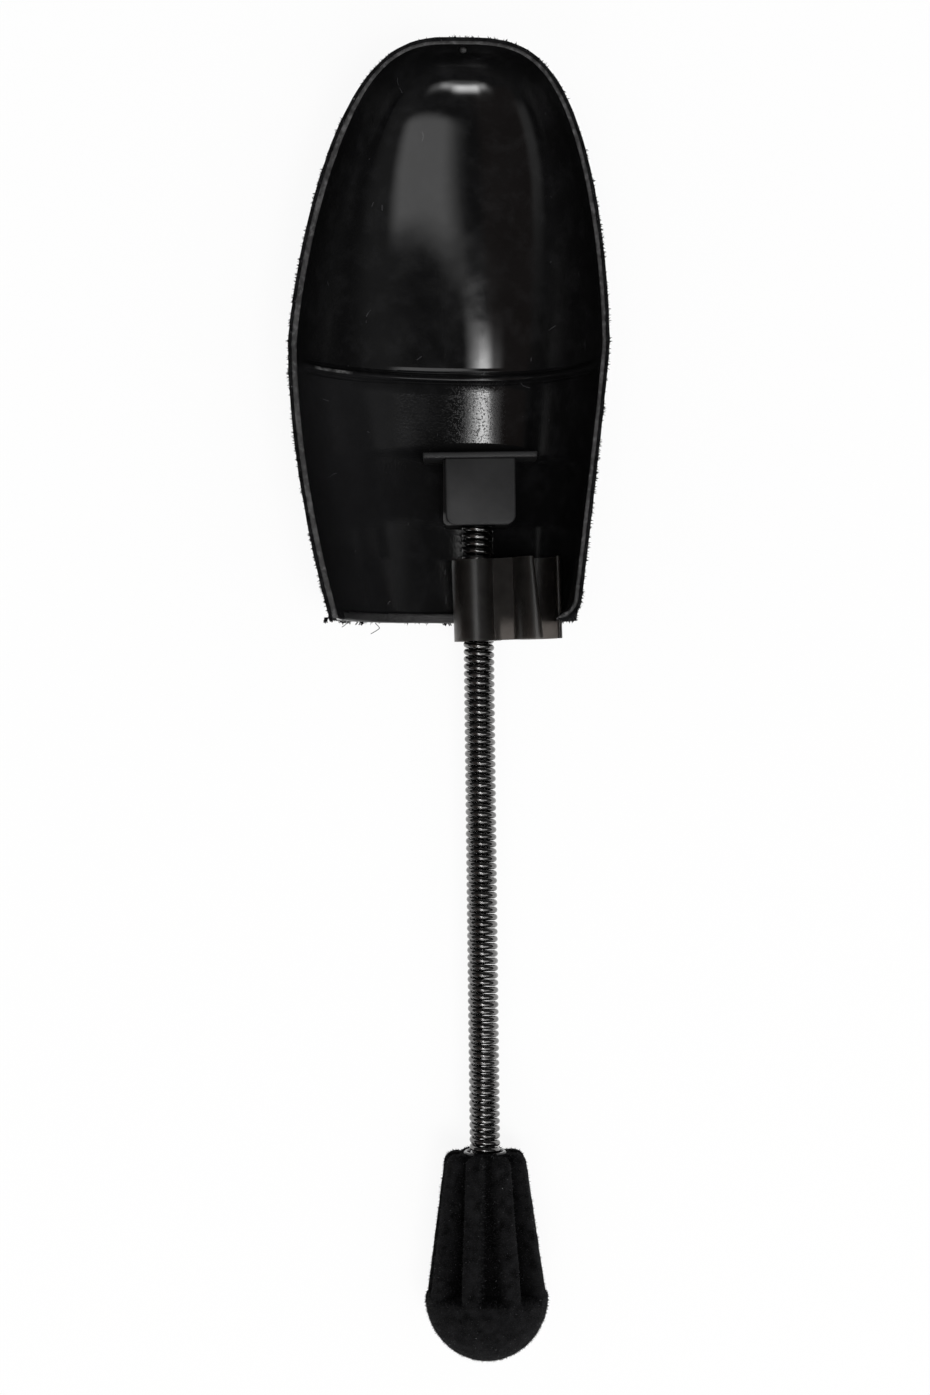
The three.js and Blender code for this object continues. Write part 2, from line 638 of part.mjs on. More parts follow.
const BLACK_PLASTIC = finish('#101112', 0.3);
const GREY_PLASTIC = finish('#2e2f30', 0.55);
const SMOKED_PLASTIC = finish('#2a211b', 0.3);
const BLACK_STEEL = finish('#17181a', 0.25, 0.6);
const BLACK_VELVET = finish('#0c0c0d', 0.95);

function piece(name, geometry, material) {
  const mesh = new THREE.Mesh(geometry, material);
  mesh.name = name;
  return mesh;
}

const tree = new THREE.Group();
tree.add(piece('toe_shell', toeShell(), BLACK_PLASTIC));
tree.add(piece('toe_velvet', toeVelvet(), BLACK_VELVET));
tree.add(piece('spring_holder', springHolder(), GREY_PLASTIC));
tree.add(piece('spring', leaned(spring()), BLACK_STEEL));

const clip = piece('pair_clip', pairClip(), SMOKED_PLASTIC);
clip.position.set(CLIP_X, CLIP_MIDDLE_Y, AXIS_Z);
clip.rotation.z = rad(CLIP_SKEW_DEG);
tree.add(clip);

tree.add(piece('heel_knob', leaned(heelKnob()), BLACK_PLASTIC));
tree.add(piece('heel_velvet', leaned(heelVelvet()), BLACK_VELVET));

export default tree;
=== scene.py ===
"""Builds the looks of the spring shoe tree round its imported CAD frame, as a small add-on."""

import math
import random

import bpy
from mathutils import Matrix, Vector, noise


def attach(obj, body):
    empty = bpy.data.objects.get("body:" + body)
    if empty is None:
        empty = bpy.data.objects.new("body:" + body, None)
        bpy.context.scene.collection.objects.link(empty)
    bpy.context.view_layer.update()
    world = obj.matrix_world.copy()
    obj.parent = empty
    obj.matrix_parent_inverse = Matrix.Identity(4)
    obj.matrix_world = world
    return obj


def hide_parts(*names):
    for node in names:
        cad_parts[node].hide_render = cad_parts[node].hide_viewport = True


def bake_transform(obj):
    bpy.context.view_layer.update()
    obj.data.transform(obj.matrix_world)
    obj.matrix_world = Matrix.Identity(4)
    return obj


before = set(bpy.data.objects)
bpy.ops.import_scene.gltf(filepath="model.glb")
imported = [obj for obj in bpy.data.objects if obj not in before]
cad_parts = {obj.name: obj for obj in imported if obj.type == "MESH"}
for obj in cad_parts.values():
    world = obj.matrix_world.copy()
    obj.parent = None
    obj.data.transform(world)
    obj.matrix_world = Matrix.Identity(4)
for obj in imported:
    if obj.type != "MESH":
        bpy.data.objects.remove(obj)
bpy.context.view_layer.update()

bl_info = {
    "name": "Spring Shoe Tree",
    "version": (1, 0, 0),
    "blender": (4, 5, 0),
    "location": "View3D > Sidebar > Shoe Tree",
    "description": "Builds a spring shoe tree with a flocked toe shell and heel knob",
    "category": "Add Mesh",
}

MM = 0.001
MERGE = 1e-6
NEAR = 0.02

# Toe shell surface, in millimetres: the solids' outline with a rounder section
TOE_TIP_Y = 168.0
BALL_Y = 92.0
REAR_Y = 23.5
SPINE_X = 7.5
SPINE_TIP_X = 3.0
RIM_Z = 42.0
REAR_DEPTH = 41.2
TOE_DEPTH = 17.0
ROOF_POWER = 1.9
REAR_SQUARE = 3.0
BALL_SQUARE = 2.0
TOE_SQUARE = 2.3
TIP_SQUARE = 6.0
SPINE_SHARE = 0.7
SQUARE_SHARE = 0.9
LEFT = {"sign": -1, "half": 39.5, "taper": 10.4, "power": 1.8, "across": 2.65, "along": 1.33}
RIGHT = {"sign": 1, "half": 39.4, "taper": 7.6, "power": 1.1, "across": 3.75, "along": 1.72}
CORNER_ROUND = 4.6
CORNER_FADE_Z = (30.0, 38.0)
SHELL_ROWS = 46
TOE_STEPS = 84
SIDE_STATION_STEP = 2.4
LIP_STATIONS = (0, 0.15, 0.4, 0.75, 1.2, 1.7, 2.1, 2.3, 2.5, 2.7, 2.9, 3.3, 3.9)
PROFILE_SAMPLES = 240
RIDGE_Y = 87.8
RIDGE_FADE = (30.0, 36.0)
RIDGE_GROOVE = (0.9, 0.42)
RIDGE_STATION_STEP = 0.22
RIDGE_STATIONS = range(-8, 11)
RIDGE_CLEAR = 3.1
RIM_WALL = {"left": 1.45, "right": 1.05, "toe": 0.95}
RIM_SIDES_X = (-20.0, 20.0)
RIM_TOE_Y = (140.0, 164.0)
RIM_TAPER = 5.0
RIM_BAND = 0.5
RIM_UP = 0.5
LIP_UP = 0.2
LIP_FRONT_Y = 25.9
LIP_STEP = 0.5
LIP_FADE = (22.0, 34.0)
NUB_PLACE = (3.5, 166.2, 39.6)
NUB_RADIUS = 0.9
NUB_STRETCH = (1.0, 0.9, 1.2, 1.0)

# Places on the shell where its finish changes or light is painted on it, in millimetres, and its roughness
# there
STRIP_X = 8.0
STRIP_HALF = (6.0, 11.0)
STRIP_FROM_Y = (62.0, 66.0)
SIDES_MIDDLE_X = 2.0
SIDES_FADE = (17.0, 30.0)
UPPER_FADE_Z = (28.4, 29.8)
# Painted light: the roof behind the ridge turns lighter towards the left
LEFT_LIGHT_X = (-6.0, -26.0)
# Painted highlight at the ridge's left end
HIGHLIGHT_RIGHT_X = (-25.0, -27.5)
HIGHLIGHT_LEFT_X = (-34.5, -33.0)
HIGHLIGHT_OFF_RIDGE = (0.25, 0.5)
HIGHLIGHT_SHIFT = 0.15
SPARKLE_ROUGH = 0.23
SATIN_ROUGH = 0.07
GLOSS_ROUGH = (0.05, 0.1)
GLOSS_MOST = 0.265
SIDES_ROUGH = 0.26

# Flock: tufts as (x, count, length), loose threads as points
FIBRE_AREA = 0.12 * MM ** 2
FIBRE_STRAY = 0.45
FIBRE_LENGTHS = (0.2, 1.5)
FLOCK_GAP = 0.05
TOE_FUZZ = {"density": 3.0, "radius": 0.19 * MM, "seed": 11}
KNOB_FUZZ = {"density": 3.0, "radius": 0.11 * MM, "seed": 23}
TOE_FUZZ_LONGER = 1.3
TOE_WAVES = {"size": 2.2 * MM, "height": 0.16 * MM, "seed": 3.0}
KNOB_WAVES = {"size": 1.6 * MM, "height": 0.14 * MM, "seed": 9.0}
TOE_PALE = {"seed": 31, "share": 0.16}
KNOB_PALE = {"seed": 37, "share": 0.05}
FUZZ_UNDER_RIM = 5.0
FUZZ_FROM_REAR = 2.0
FUZZ_ELSEWHERE = 0.06
FUZZ_NOT_BELOW = -0.75
CLUMP_SIZE = 1.1
CLUMP_FADE = (-0.1, 0.3)
TUFTS = (
    (-30.6, 12, 1.3),
    (-29.4, 10, 1.1),
    (-27.6, 8, 1.0),
    (-26.2, 6, 0.8),
    (-23.4, 7, 1.0),
    (-1.2, 9, 0.9),
)
TUFT_SEED = 50
TUFT_LOW = 0.3
TUFT_RADIUS = 0.15
TUFT_CURL = 0.12
TUFT_SPREAD = (0.5, 0.25)
TUFT_INSET = 0.2
TUFT_STRAY = (0.7, 0.3)
TUFT_LENGTHS = (0.5, 1.2)
THREADS = {
    "thread_a": [(-26.6, 23.4, 14.0), (-27.4, 22.6, 14.2), (-28.2, 22.1, 14.0)],
    "thread_b": [(-19.6, 23.2, 11.0), (-18.4, 22.2, 11.3), (-18.6, 21.6, 11.2), (-20.8, 20.4, 10.9)],
}
THREAD_RADIUS = 0.09

# Spring line
AXIS_X = 7.1
AXIS_Z = 16.0
LEAN_DEG = 0.7
LEAN_Y = 58.6
COIL_FRONT_Y = 62.65
PITCH = 1.898
TOE_TURNS = 58
HEEL_TURNS = 40
COIL_STEPS = 30
WIRE_SIDES = 12

# Spring holder
HOLDER_X = 8.0
PLATE_WIDTH = 18.1
PLATE_REAR_Y = 48.3
PLATE_LOW_Z = 20.55
PLATE_THICK = 1.8
PLATE_CORNER = 2.6
FLANGE_WIDTH = 29.6
FLANGE_Y = (65.6, 67.15)
FLANGE_TOP_Z = 22.85
FLANGE_FOOT_GAP = 0.3
FLANGE_ROUND = 0.35
PLATE_ROUND = 0.4
CORNER_SEGMENTS = 8
PEG_RADIUS = 2.3
PEG_LENGTH = 14.0
PEG_ROUND = 0.5
PEG_SIDES = 32
SEAT_MARGIN = -0.1
SEAT_SHIFT = -0.7
SEAT_WALL = 1.8
SEAT_CORNER = 1.4
SEAT_TOP_Z = 20.25
SEAT_NOTCH = 4.7
SEAT_NOTCH_LENGTH = 30.0
SEAT_NOTCH_RISE = 12.0
SEAT_NOTCH_SIDES = 40
SEAT_CUTS = 3
SEAT_FRONT_GAP = 0.4
SEAT_SINK = 0.4
SEAT_ROUND = 0.4
# Painted highlight round the seat's rear left corner
SEAT_CORNER_HIGHLIGHT = (2.6, 3.6)
FILLET_RADIUS = 3.9
FILLET_GAP = 0.3
FILLET_SINK = 0.3
FILLET_WIDTH = 28.4
FILLET_COLUMNS = 28
FILLET_STEPS = 8
FILLET_END_POWER = 8

# Clip
CLIP_X = 7.05
CLIP_Y = 29.0
CLIP_LENGTH = 21.2
CLIP_SKEW_DEG = 1.8
SLEEVE_RADII = (5.05, 6.15)
CHANNEL_RADII = (5.1, 6.2)
CHANNEL_PLACE = (15.646, 5.08)
WEB_THICK = 1.3
WEB_FROM_DEG = 36.0
MOUTH_RIGHT_DEG = 12.0
MOUTH_LEFT_DEG = (104.0, 84.0)
CLIP_ROWS = 12
CLIP_ROUND = 0.16
BORE_STEPS = 64
SLEEVE_STEPS = 60
CHANNEL_STEPS = {"right": 44, "inside": 56, "left": 20}
LIP_STEPS = 5
LIP_CLEAR_DEG = 4.0
LIP_TURN_DEG = (30.0, 150.0)

# Knob
FIN_COUNT = 8
FIN_HALF = 2.15
FIN_ROLL_DEG = 5.0
FIN_TIP = (10.5, 15.6)
FIN_FLOOR = (7.2, 8.9)
# Painted shade in the knob's grooves
GROOVE_SHADE = (0.4, 4.5)
KNOB_TOP_Y = -114.9
FIN_FOOT_Y = -150.2
LEDGE_Y = -151.5
CAP_Y = -152.1
CAP_RADIUS = 16.0
KNOB_TIP_Y = -168.75
FIN_TOP_ROUND = 2.0
FLOOR_TOP_ROUND = 0.9
SIDE_TOP_ROUND = 1.0
FIN_EDGE = (0.8, 1.2)
FIN_FILLET = 0.7
FIN_CROWN = (0.06, 0.1)
FIN_ROWS = 22
FIN_TOP_STEPS = 6
KNOB_HOLE_OVERLAP = 0.1
KNOB_TOP_SHARES = (0.0, 0.45, 0.8)
CAP_STEPS = 18
LEDGE_ROWS = ((0.8, 0.0, 0.02), (0.3, 0.1, 0.12), (0.05, 0.2, 0.5), (-0.05, 0.25, 0.8), (-0.25, 0.32, 0.94))
COLLAR_RADII = (4.55, 5.7)
COLLAR_TOP_Y = -114.5
COLLAR_INSIDE_ROUND = (0.25, 0.4)
COLLAR_OUTSIDE_ROUND = (0.4, 0.5)
COLLAR_STEPS = 56
CORE_END_Y = -127.2

# Camera of the photograph
CAMERA_PLACE = (4.0, 3.7, 642.0)
LENS = 61.94
SENSOR = 36.0
CLIP_START = 0.01

# Light panels as seen from the toe shell, in degrees: where from straight up, how wide, and how soft
PANEL_AWAY = 3000.0
PANEL_TARGET = (2.0, 120.0, 15.0)
PANELS = {
    "key": {"level": "key", "angles": (23.5, -22.0), "sizes": (37, 22), "soft": (14, 4), "cut": (0.12, 0.25)},
    "spill": {"level": "spill", "angles": (54, -30), "sizes": (30, 40), "soft": (24, 24)},
    "near": {"level": "near", "angles": (-5, -8.4), "sizes": (13.5, 6.0), "soft": (11, 3.6)},
    "near_wide": {"level": "near", "angles": (-12, -8.4), "sizes": (22, 6), "soft": (12, 4), "share": 0.1},
    "front": {"level": "front", "angles": (-5, -45.2), "sizes": (11, 5.4), "soft": (6, 5)},
    "front_left": {"level": "front", "angles": (7, -46.8), "sizes": (15, 5), "soft": (8, 5),
                   "share": 0.4, "roll": -14.0},
    "front_right": {"level": "front", "angles": (-15, -46.8), "sizes": (12, 5), "soft": (8, 5),
                    "share": 0.4, "roll": 14.0},
    "front_wide": {"level": "front", "angles": (2, -49), "sizes": (40, 6), "soft": (12, 7), "share": 0.15},
    "side": {"level": "side", "angles": (-63.5, -41), "sizes": (13, 22), "soft": (8, 8)},
    "warm": {"level": "warm", "angles": (-34, -24), "sizes": (44, 50), "soft": (10, 10),
             "colour": (1.0, 0.62, 0.48)},
    "main": {"level": "main", "angles": (9, -14), "sizes": (14, 14), "soft": (2, 2), "mirrored": False},
}
WORLD_RAYS = {"Is Glossy Ray": 0.05, "Is Transmission Ray": 0.05, "Is Camera Ray": 1.0}
FLOOR_Z = -0.5
FLOOR_SIZE = 6000.0


class ShapeSettings(bpy.types.PropertyGroup):
    """Sizes that can be changed without moving the frame."""

    wall: bpy.props.FloatProperty(
        name="Shell wall", description="Thickness of the shell's wall", default=1.6 * MM, unit="LENGTH")
    rim_round: bpy.props.FloatProperty(
        name="Rim rounding", description="Rounding of the rim's edges", default=0.3 * MM, unit="LENGTH")
    ridge_half: bpy.props.FloatProperty(
        name="Ridge half width", description="Half the width of the cross ridge",
        default=0.9 * MM, unit="LENGTH")
    ridge_height: bpy.props.FloatProperty(
        name="Ridge height", description="Height of the cross ridge", default=0.85 * MM, unit="LENGTH")
    lip_height: bpy.props.FloatProperty(
        name="Lip height", description="Height of the rear lip over the roof",
        default=0.75 * MM, unit="LENGTH")
    flock: bpy.props.FloatProperty(
        name="Flock thickness", description="How far the flock stands off the shell",
        default=0.8 * MM, unit="LENGTH")
    fibre: bpy.props.FloatProperty(
        name="Fibre length", description="Length of the loose flock fibres", default=0.45 * MM, unit="LENGTH")
    wire: bpy.props.FloatProperty(
        name="Wire", description="Diameter of the spring's wire", default=1.74 * MM, unit="LENGTH")
    coil: bpy.props.FloatProperty(
        name="Coil radius", description="Radius of the coil at the wire's middle",
        default=3.17 * MM, unit="LENGTH")


class ColourSettings(bpy.types.PropertyGroup):
    """Colours of the materials."""

    plastic: bpy.props.FloatVectorProperty(
        name="Plastic", description="Black plastic of the shell", size=3, subtype="COLOR",
        default=(0.0034, 0.0034, 0.0036))
    rim: bpy.props.FloatVectorProperty(
        name="Rim", description="Grey of the shell's trimmed rim", size=3, subtype="COLOR",
        default=(0.026, 0.0255, 0.026))
    velvet: bpy.props.FloatVectorProperty(
        name="Velvet", description="Black of the flock", size=3, subtype="COLOR",
        default=(0.0050, 0.0050, 0.0053))
    holder: bpy.props.FloatVectorProperty(
        name="Holder", description="Dark grey of the spring holder", size=3, subtype="COLOR",
        default=(0.0145, 0.0145, 0.015))
    steel: bpy.props.FloatVectorProperty(
        name="Steel", description="Dark steel of the wire", size=3, subtype="COLOR",
        default=(0.19, 0.187, 0.185))
    smoke: bpy.props.FloatVectorProperty(
        name="Smoked plastic", description="Tint of the clip's plastic", size=3, subtype="COLOR",
        default=(0.108, 0.096, 0.088))


class StageSettings(bpy.types.PropertyGroup):
    """Light of the stage."""

    key: bpy.props.FloatProperty(
        name="Key", description="Brightness of the key panel, 1 being white", default=1.75)
    spill: bpy.props.FloatProperty(
        name="Spill", description="Brightness of the dim panel beside the key", default=0.13)
    near: bpy.props.FloatProperty(
        name="Near", description="Brightness of the small panel near the camera", default=17.0)
    front: bpy.props.FloatProperty(
        name="Front", description="Brightness of the front panel", default=11.0)
    side: bpy.props.FloatProperty(
        name="Side", description="Brightness of the side panel", default=0.38)
    warm: bpy.props.FloatProperty(
        name="Warm", description="Brightness of the dim warm panel", default=0.06)
    main: bpy.props.FloatProperty(
        name="Main", description="Brightness of the light that throws the shadows", default=20.0)
    around: bpy.props.FloatProperty(
        name="Around", description="Brightness of the white room round the stage", default=0.35)
    shadow: bpy.props.FloatProperty(
        name="Shadow", description="Share of the floor that shows its shadow", default=0.10, subtype="FACTOR")


def shape():
    """The size settings of the scene."""
    return bpy.context.scene.shoe_tree_shape


def colours():
    """The colour settings of the scene."""
    return bpy.context.scene.shoe_tree_colours


def deselect():
    """Object mode with nothing selected."""
    if bpy.context.mode != "OBJECT":
        bpy.ops.object.mode_set(mode="OBJECT")
    bpy.ops.object.select_all(action="DESELECT")


def named(name):
    """The active object under a new name."""
    piece = bpy.context.object
    piece.name = name
    piece.data.name = name
    return piece


def pick(piece):
    """Makes a piece the only selected and active object."""
    deselect()
    piece.select_set(True)
    bpy.context.view_layer.objects.active = piece
    return piece


def loft(name, columns, rows, place):
    """A grid whose vertices go where place(column, row) says, in millimetres, with doubles merged."""
    deselect()
    bpy.ops.mesh.primitive_grid_add(x_subdivisions=columns, y_subdivisions=rows, size=2)
    piece = named(name)
    if len(piece.data.vertices) != (columns + 1) * (rows + 1):
        raise RuntimeError("the grid for " + name + " has another count of vertices")
    for vertex in piece.data.vertices:
        column = round((vertex.co.x + 1) / 2 * columns)
        row = round((vertex.co.y + 1) / 2 * rows)
        vertex.co = Vector(place(column, row)) * MM
    merge(piece)
    return piece


def edit_all(piece):
    """Enters edit mode on a piece with everything selected."""
    pick(piece)
    bpy.ops.object.mode_set(mode="EDIT")
    bpy.ops.mesh.select_all(action="SELECT")


def outwards():
    """Points the normals of the whole mesh in edit mode outwards and leaves edit mode."""
    bpy.ops.mesh.select_all(action="SELECT")
    bpy.ops.mesh.normals_make_consistent(inside=False)
    bpy.ops.object.mode_set(mode="OBJECT")


def merge(piece):
    """Merges doubled vertices and points the normals outwards."""
    edit_all(piece)
    bpy.ops.mesh.remove_doubles(threshold=MERGE)
    outwards()


def extrude(move):
    """Extrudes what is selected in edit mode by a move in millimetres."""
    bpy.ops.mesh.extrude_region_move(TRANSFORM_OT_translate={"value": tuple(value * MM for value in move)})


def select_only(piece, kind, chosen):
    """Enters edit mode in a select mode, with only the edges or vertices of the chosen indices selected."""
    pick(piece)
    bpy.ops.object.mode_set(mode="EDIT")
    bpy.ops.mesh.select_mode(type=kind)
    bpy.ops.mesh.select_all(action="DESELECT")
    bpy.ops.object.mode_set(mode="OBJECT")
    for part in piece.data.edges if kind == "EDGE" else piece.data.vertices:
        part.select = part.index in chosen
    bpy.ops.object.mode_set(mode="EDIT")


def select_edges(piece, test):
    """Selects the edges that pass a test on their two end points, in edit mode."""
    mesh = piece.data
    chosen = {edge.index for edge in mesh.edges if test(*(mesh.vertices[i].co for i in edge.vertices))}
    select_only(piece, "EDGE", chosen)


def tidy_mesh(piece, angle_deg):
    """Points the normals outwards and shades smooth up to an angle."""
    merge(piece)
    bpy.ops.object.shade_smooth_by_angle(angle=math.radians(angle_deg))


def apply_modifier(piece, kind, **values):
    """Adds a modifier with values and applies it."""
    pick(piece)
    modifier = piece.modifiers.new(kind.title(), kind)
    for key, value in values.items():
        setattr(modifier, key, value)
    bpy.ops.object.modifier_apply(modifier=modifier.name)


def join(first, *others):
    """Joins pieces into the first."""
    pick(first)
    for other in others:
        other.select_set(True)
    bpy.ops.object.join()
    return first


def finish_piece(piece, body, node, slot, *materials):
    """Gives a piece its materials and body and hides the imported part of its node; the slot is not used."""
    piece.data.materials.clear()
    for material in materials:
        piece.data.materials.append(material)
    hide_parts(node)
    if body:
        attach(piece, body)


def corner_plate(name, middle_x, half, front, rear, level, corner):
    """A flat plate with two rounded rear corners, all of it selected in edit mode; sizes in millimetres."""
    deselect()
    bpy.ops.mesh.primitive_plane_add(size=2)
    plate = named(name)
    for vertex in plate.data.vertices:
        x = middle_x + half * vertex.co.x
        y = front if vertex.co.y > 0 else rear
        vertex.co = Vector((x, y, level)) * MM
    at_back = {vertex.index for vertex in plate.data.vertices if vertex.co.y < (rear + NEAR) * MM}
    select_only(plate, "VERT", at_back)
    bpy.ops.mesh.bevel(offset=corner * MM, segments=CORNER_SEGMENTS, affect="VERTICES")
    bpy.ops.mesh.select_all(action="SELECT")
    return plate


def rod(name, sides, radius, length, middle):
    """A round rod along Y about a middle point in metres; sizes in millimetres."""
    deselect()
    bpy.ops.mesh.primitive_cylinder_add(vertices=sides, radius=radius * MM, depth=length * MM)
    piece = named(name)
    piece.data.transform(Matrix.Translation(middle) @ Matrix.Rotation(math.radians(90), 4, "X"))
    return piece


def round_edges(piece, radius, segments=3, angle_deg=30):
    """Rounds the edges sharper than an angle by a radius in millimetres."""
    apply_modifier(piece, "BEVEL", width=radius * MM, segments=segments, limit_method="ANGLE",
                   angle_limit=math.radians(angle_deg))


def smooth(value, low, high):
    """Smooth step from 0 at low to 1 at high."""
    t = min(max((value - low) / (high - low), 0.0), 1.0)
    return t * t * (3 - 2 * t)


def lean(piece):
    """Leans a mesh that was made square to the frame along the spring's line."""
    pivot = Matrix.Translation(Vector((AXIS_X, LEAN_Y, 0)) * MM)
    piece.data.transform(pivot @ Matrix.Rotation(math.radians(LEAN_DEG), 4, "Z") @ pivot.inverted())


def on_axis(y):
    """A point of the leaned spring line in metres."""
    slope = math.tan(math.radians(LEAN_DEG))
    return Vector((AXIS_X + (LEAN_Y - y) * slope, y, AXIS_Z)) * MM


def resample(points, count):
    """Points at equal steps along a polyline."""
    lengths = [0.0]
    for a, b in zip(points, points[1:]):
        lengths.append(lengths[-1] + (b - a).length)
    found = []
    k = 0
    for i in range(count + 1):
        target = lengths[-1] * i / count
        while k < len(points) - 2 and lengths[k + 1] < target:
            k += 1
        span = lengths[k + 1] - lengths[k]
        share = min((target - lengths[k]) / span, 1.0) if span else 0.0
        found.append(points[k].lerp(points[k + 1], share))
    return found


def roof_depth(y):
    """Depth of the roof's spine under the rim plane."""
    forward = max((y - REAR_Y) / (TOE_TIP_Y - REAR_Y), 0.0)
    return REAR_DEPTH - (REAR_DEPTH - TOE_DEPTH) * forward ** ROOF_POWER


def toe_share(y):
    """How far a place lies from the ball towards the tip, from 0 to 1."""
    return min(max((y - BALL_Y) / (TOE_TIP_Y - BALL_Y), 0.0), 1.0)


def half_width(side, y):
    """Width of the rim from the middle line on one side."""
    if y > BALL_Y:
        return side["half"] * (1 - toe_share(y) ** side["along"]) ** (1 / side["across"])
    back = (BALL_Y - y) / (BALL_Y - REAR_Y)
    return side["half"] - side["taper"] * back ** side["power"]


def section_square(y):
    """Exponent of the cross-section: round at the ball, squarer at the rear and the toe."""
    if y > BALL_Y:
        return BALL_SQUARE + (TOE_SQUARE - BALL_SQUARE) * smooth(toe_share(y), 0.0, SQUARE_SHARE)
    return BALL_SQUARE + (REAR_SQUARE - BALL_SQUARE) * ((BALL_Y - y) / (BALL_Y - REAR_Y)) ** 2


def spine_x(y):
    """Middle line of the roof, where the cross-section is lowest."""
    return SPINE_X + (SPINE_TIP_X - SPINE_X) * smooth(toe_share(y), 0.0, SPINE_SHARE)


def shell_height(x, y):
    """Height of the shell's outer surface over the table."""
    share = toe_share(y)
    spine = spine_x(y)
    side = LEFT if x < spine else RIGHT
    span = max(abs(side["sign"] * half_width(side, y) - spine), MERGE)
    reach = min(abs(x - spine) / span, 1.0)
    square = section_square(y)
    level = max(1 - reach ** square, 0.0) ** (1 / square)
    front = max(1 - share ** TIP_SQUARE, 0.0) ** (1 / TIP_SQUARE)
    return RIM_Z - roof_depth(y) * level * front


def side_meridian(side, y):
    """Foot and rim of a cross-section behind the ball."""
    return (SPINE_X, y), (side["sign"] * half_width(side, y), y)


def toe_meridian(angle):
    """Foot and rim of a section of the toe, from the right side over the tip to the left."""
    side = RIGHT if angle < math.pi / 2 else LEFT
    across = abs(math.cos(angle)) ** (2 / side["across"])
    along = max(math.sin(angle), 0.0) ** (2 / side["along"])
    return (SPINE_X, BALL_Y), (side["sign"] * side["half"] * across, BALL_Y + (TOE_TIP_Y - BALL_Y) * along)


def section_points(meridian, rows):
    """Points of the shell's outer surface from the spine to the rim along one meridian."""
    foot, rim = meridian
    points = []
    for k in range(PROFILE_SAMPLES + 1):
        reach = 1 - (1 - k / PROFILE_SAMPLES) ** 3
        x = foot[0] + (rim[0] - foot[0]) * reach
        y = foot[1] + (rim[1] - foot[1]) * reach
        points.append(Vector((x, y, shell_height(x, y) if k < PROFILE_SAMPLES else RIM_Z)))
    return resample(points, rows)


def side_stations():
    """Stations from the rear to the ball, close together at the lip and the ridge."""
    stations = [REAR_Y + step for step in LIP_STATIONS]
    y = stations[-1] + SIDE_STATION_STEP / 2
    while y < RIDGE_Y - SIDE_STATION_STEP:
        stations.append(y)
        y += SIDE_STATION_STEP
    stations += [RIDGE_Y + step * RIDGE_STATION_STEP for step in RIDGE_STATIONS]
    return stations + [RIDGE_Y + RIDGE_CLEAR]


def shell_loft(name):
    """The shell's outer surface as an open sheet."""
    stations = side_stations()
    left = [side_meridian(LEFT, y) for y in stations]
    right = [side_meridian(RIGHT, y) for y in reversed(stations)]
    toe = [toe_meridian(math.pi * (1 - i / TOE_STEPS)) for i in range(TOE_STEPS + 1)]
    meridians = left + toe + right
    sections = [section_points(meridian, SHELL_ROWS) for meridian in meridians]
    first_right = len(left) + len(toe)

    def place(column, row):
        point = sections[column][row].copy()
        if column >= first_right and point.y < REAR_Y + CORNER_ROUND:
            deep = CORNER_ROUND - (point.y - REAR_Y)
            cut = CORNER_ROUND - math.sqrt(max(CORNER_ROUND ** 2 - deep ** 2, 0.0))
            point.x -= cut * smooth(point.z, *CORNER_FADE_Z)
        return point

    return loft(name, len(meridians) - 1, SHELL_ROWS, place)


def at_rim(point):
    """Whether a point lies in the rim plane."""
    return abs(point.z / MM - RIM_Z) < NEAR


def at_rear(point):
    """Whether a point lies in the rear plane."""
    return abs(point.y / MM - REAR_Y) < NEAR


def rim_wall(point):
    """Thickness of the rim: widest on the left, thin on the right and round the toe."""
    x, y = point.x / MM, point.y / MM
    wide = RIM_WALL["left"] + (RIM_WALL["right"] - RIM_WALL["left"]) * smooth(x, *RIM_SIDES_X)
    return (wide + (RIM_WALL["toe"] - wide) * smooth(y, *RIM_TOE_Y)) * MM


def wall_at(point):
    """Thickness of the shell's wall, which tapers to the rim."""
    share = smooth(point.z / MM, RIM_Z - RIM_TAPER, RIM_Z)
    return shape().wall + (rim_wall(point) - shape().wall) * share


def layer(piece, inside, outside):
    """Turns the open sheet into a closed layer between two offsets, flat at the rim and at the rear."""
    mesh = piece.data
    mesh.update()
    count = len(mesh.vertices)
    normals = [Vector(v.normal) for v in mesh.vertices]
    points = [v.co.copy() for v in mesh.vertices]
    down = normals[min(range(count), key=lambda i: points[i].z)].z
    turned = -1.0 if down > 0 else 1.0
    rim = [at_rim(p) for p in points]
    rear = [at_rear(p) for p in points]
    edit_all(piece)
    bpy.ops.mesh.duplicate()
    bpy.ops.mesh.flip_normals()
    bpy.ops.object.mode_set(mode="OBJECT")
    for i in range(count):
        for index, offset in ((i, outside), (i + count, inside(points[i]))):
            moved = points[i] + normals[i] * turned * offset
            if rim[i]:
                moved.z = RIM_Z * MM
            if rear[i]:
                moved.y = REAR_Y * MM
            mesh.vertices[index].co = moved
    select_only(piece, "EDGE", boundary_edges(mesh))
    bpy.ops.mesh.bridge_edge_loops()
    outwards()
    return count


def boundary_edges(mesh):
    """Indices of the edges with one face."""
    uses = {}
    for polygon in mesh.polygons:
        for key in polygon.edge_keys:
            uses[key] = uses.get(key, 0) + 1
    return {edge.index for edge in mesh.edges if uses.get(tuple(sorted(edge.vertices)), 0) == 1}


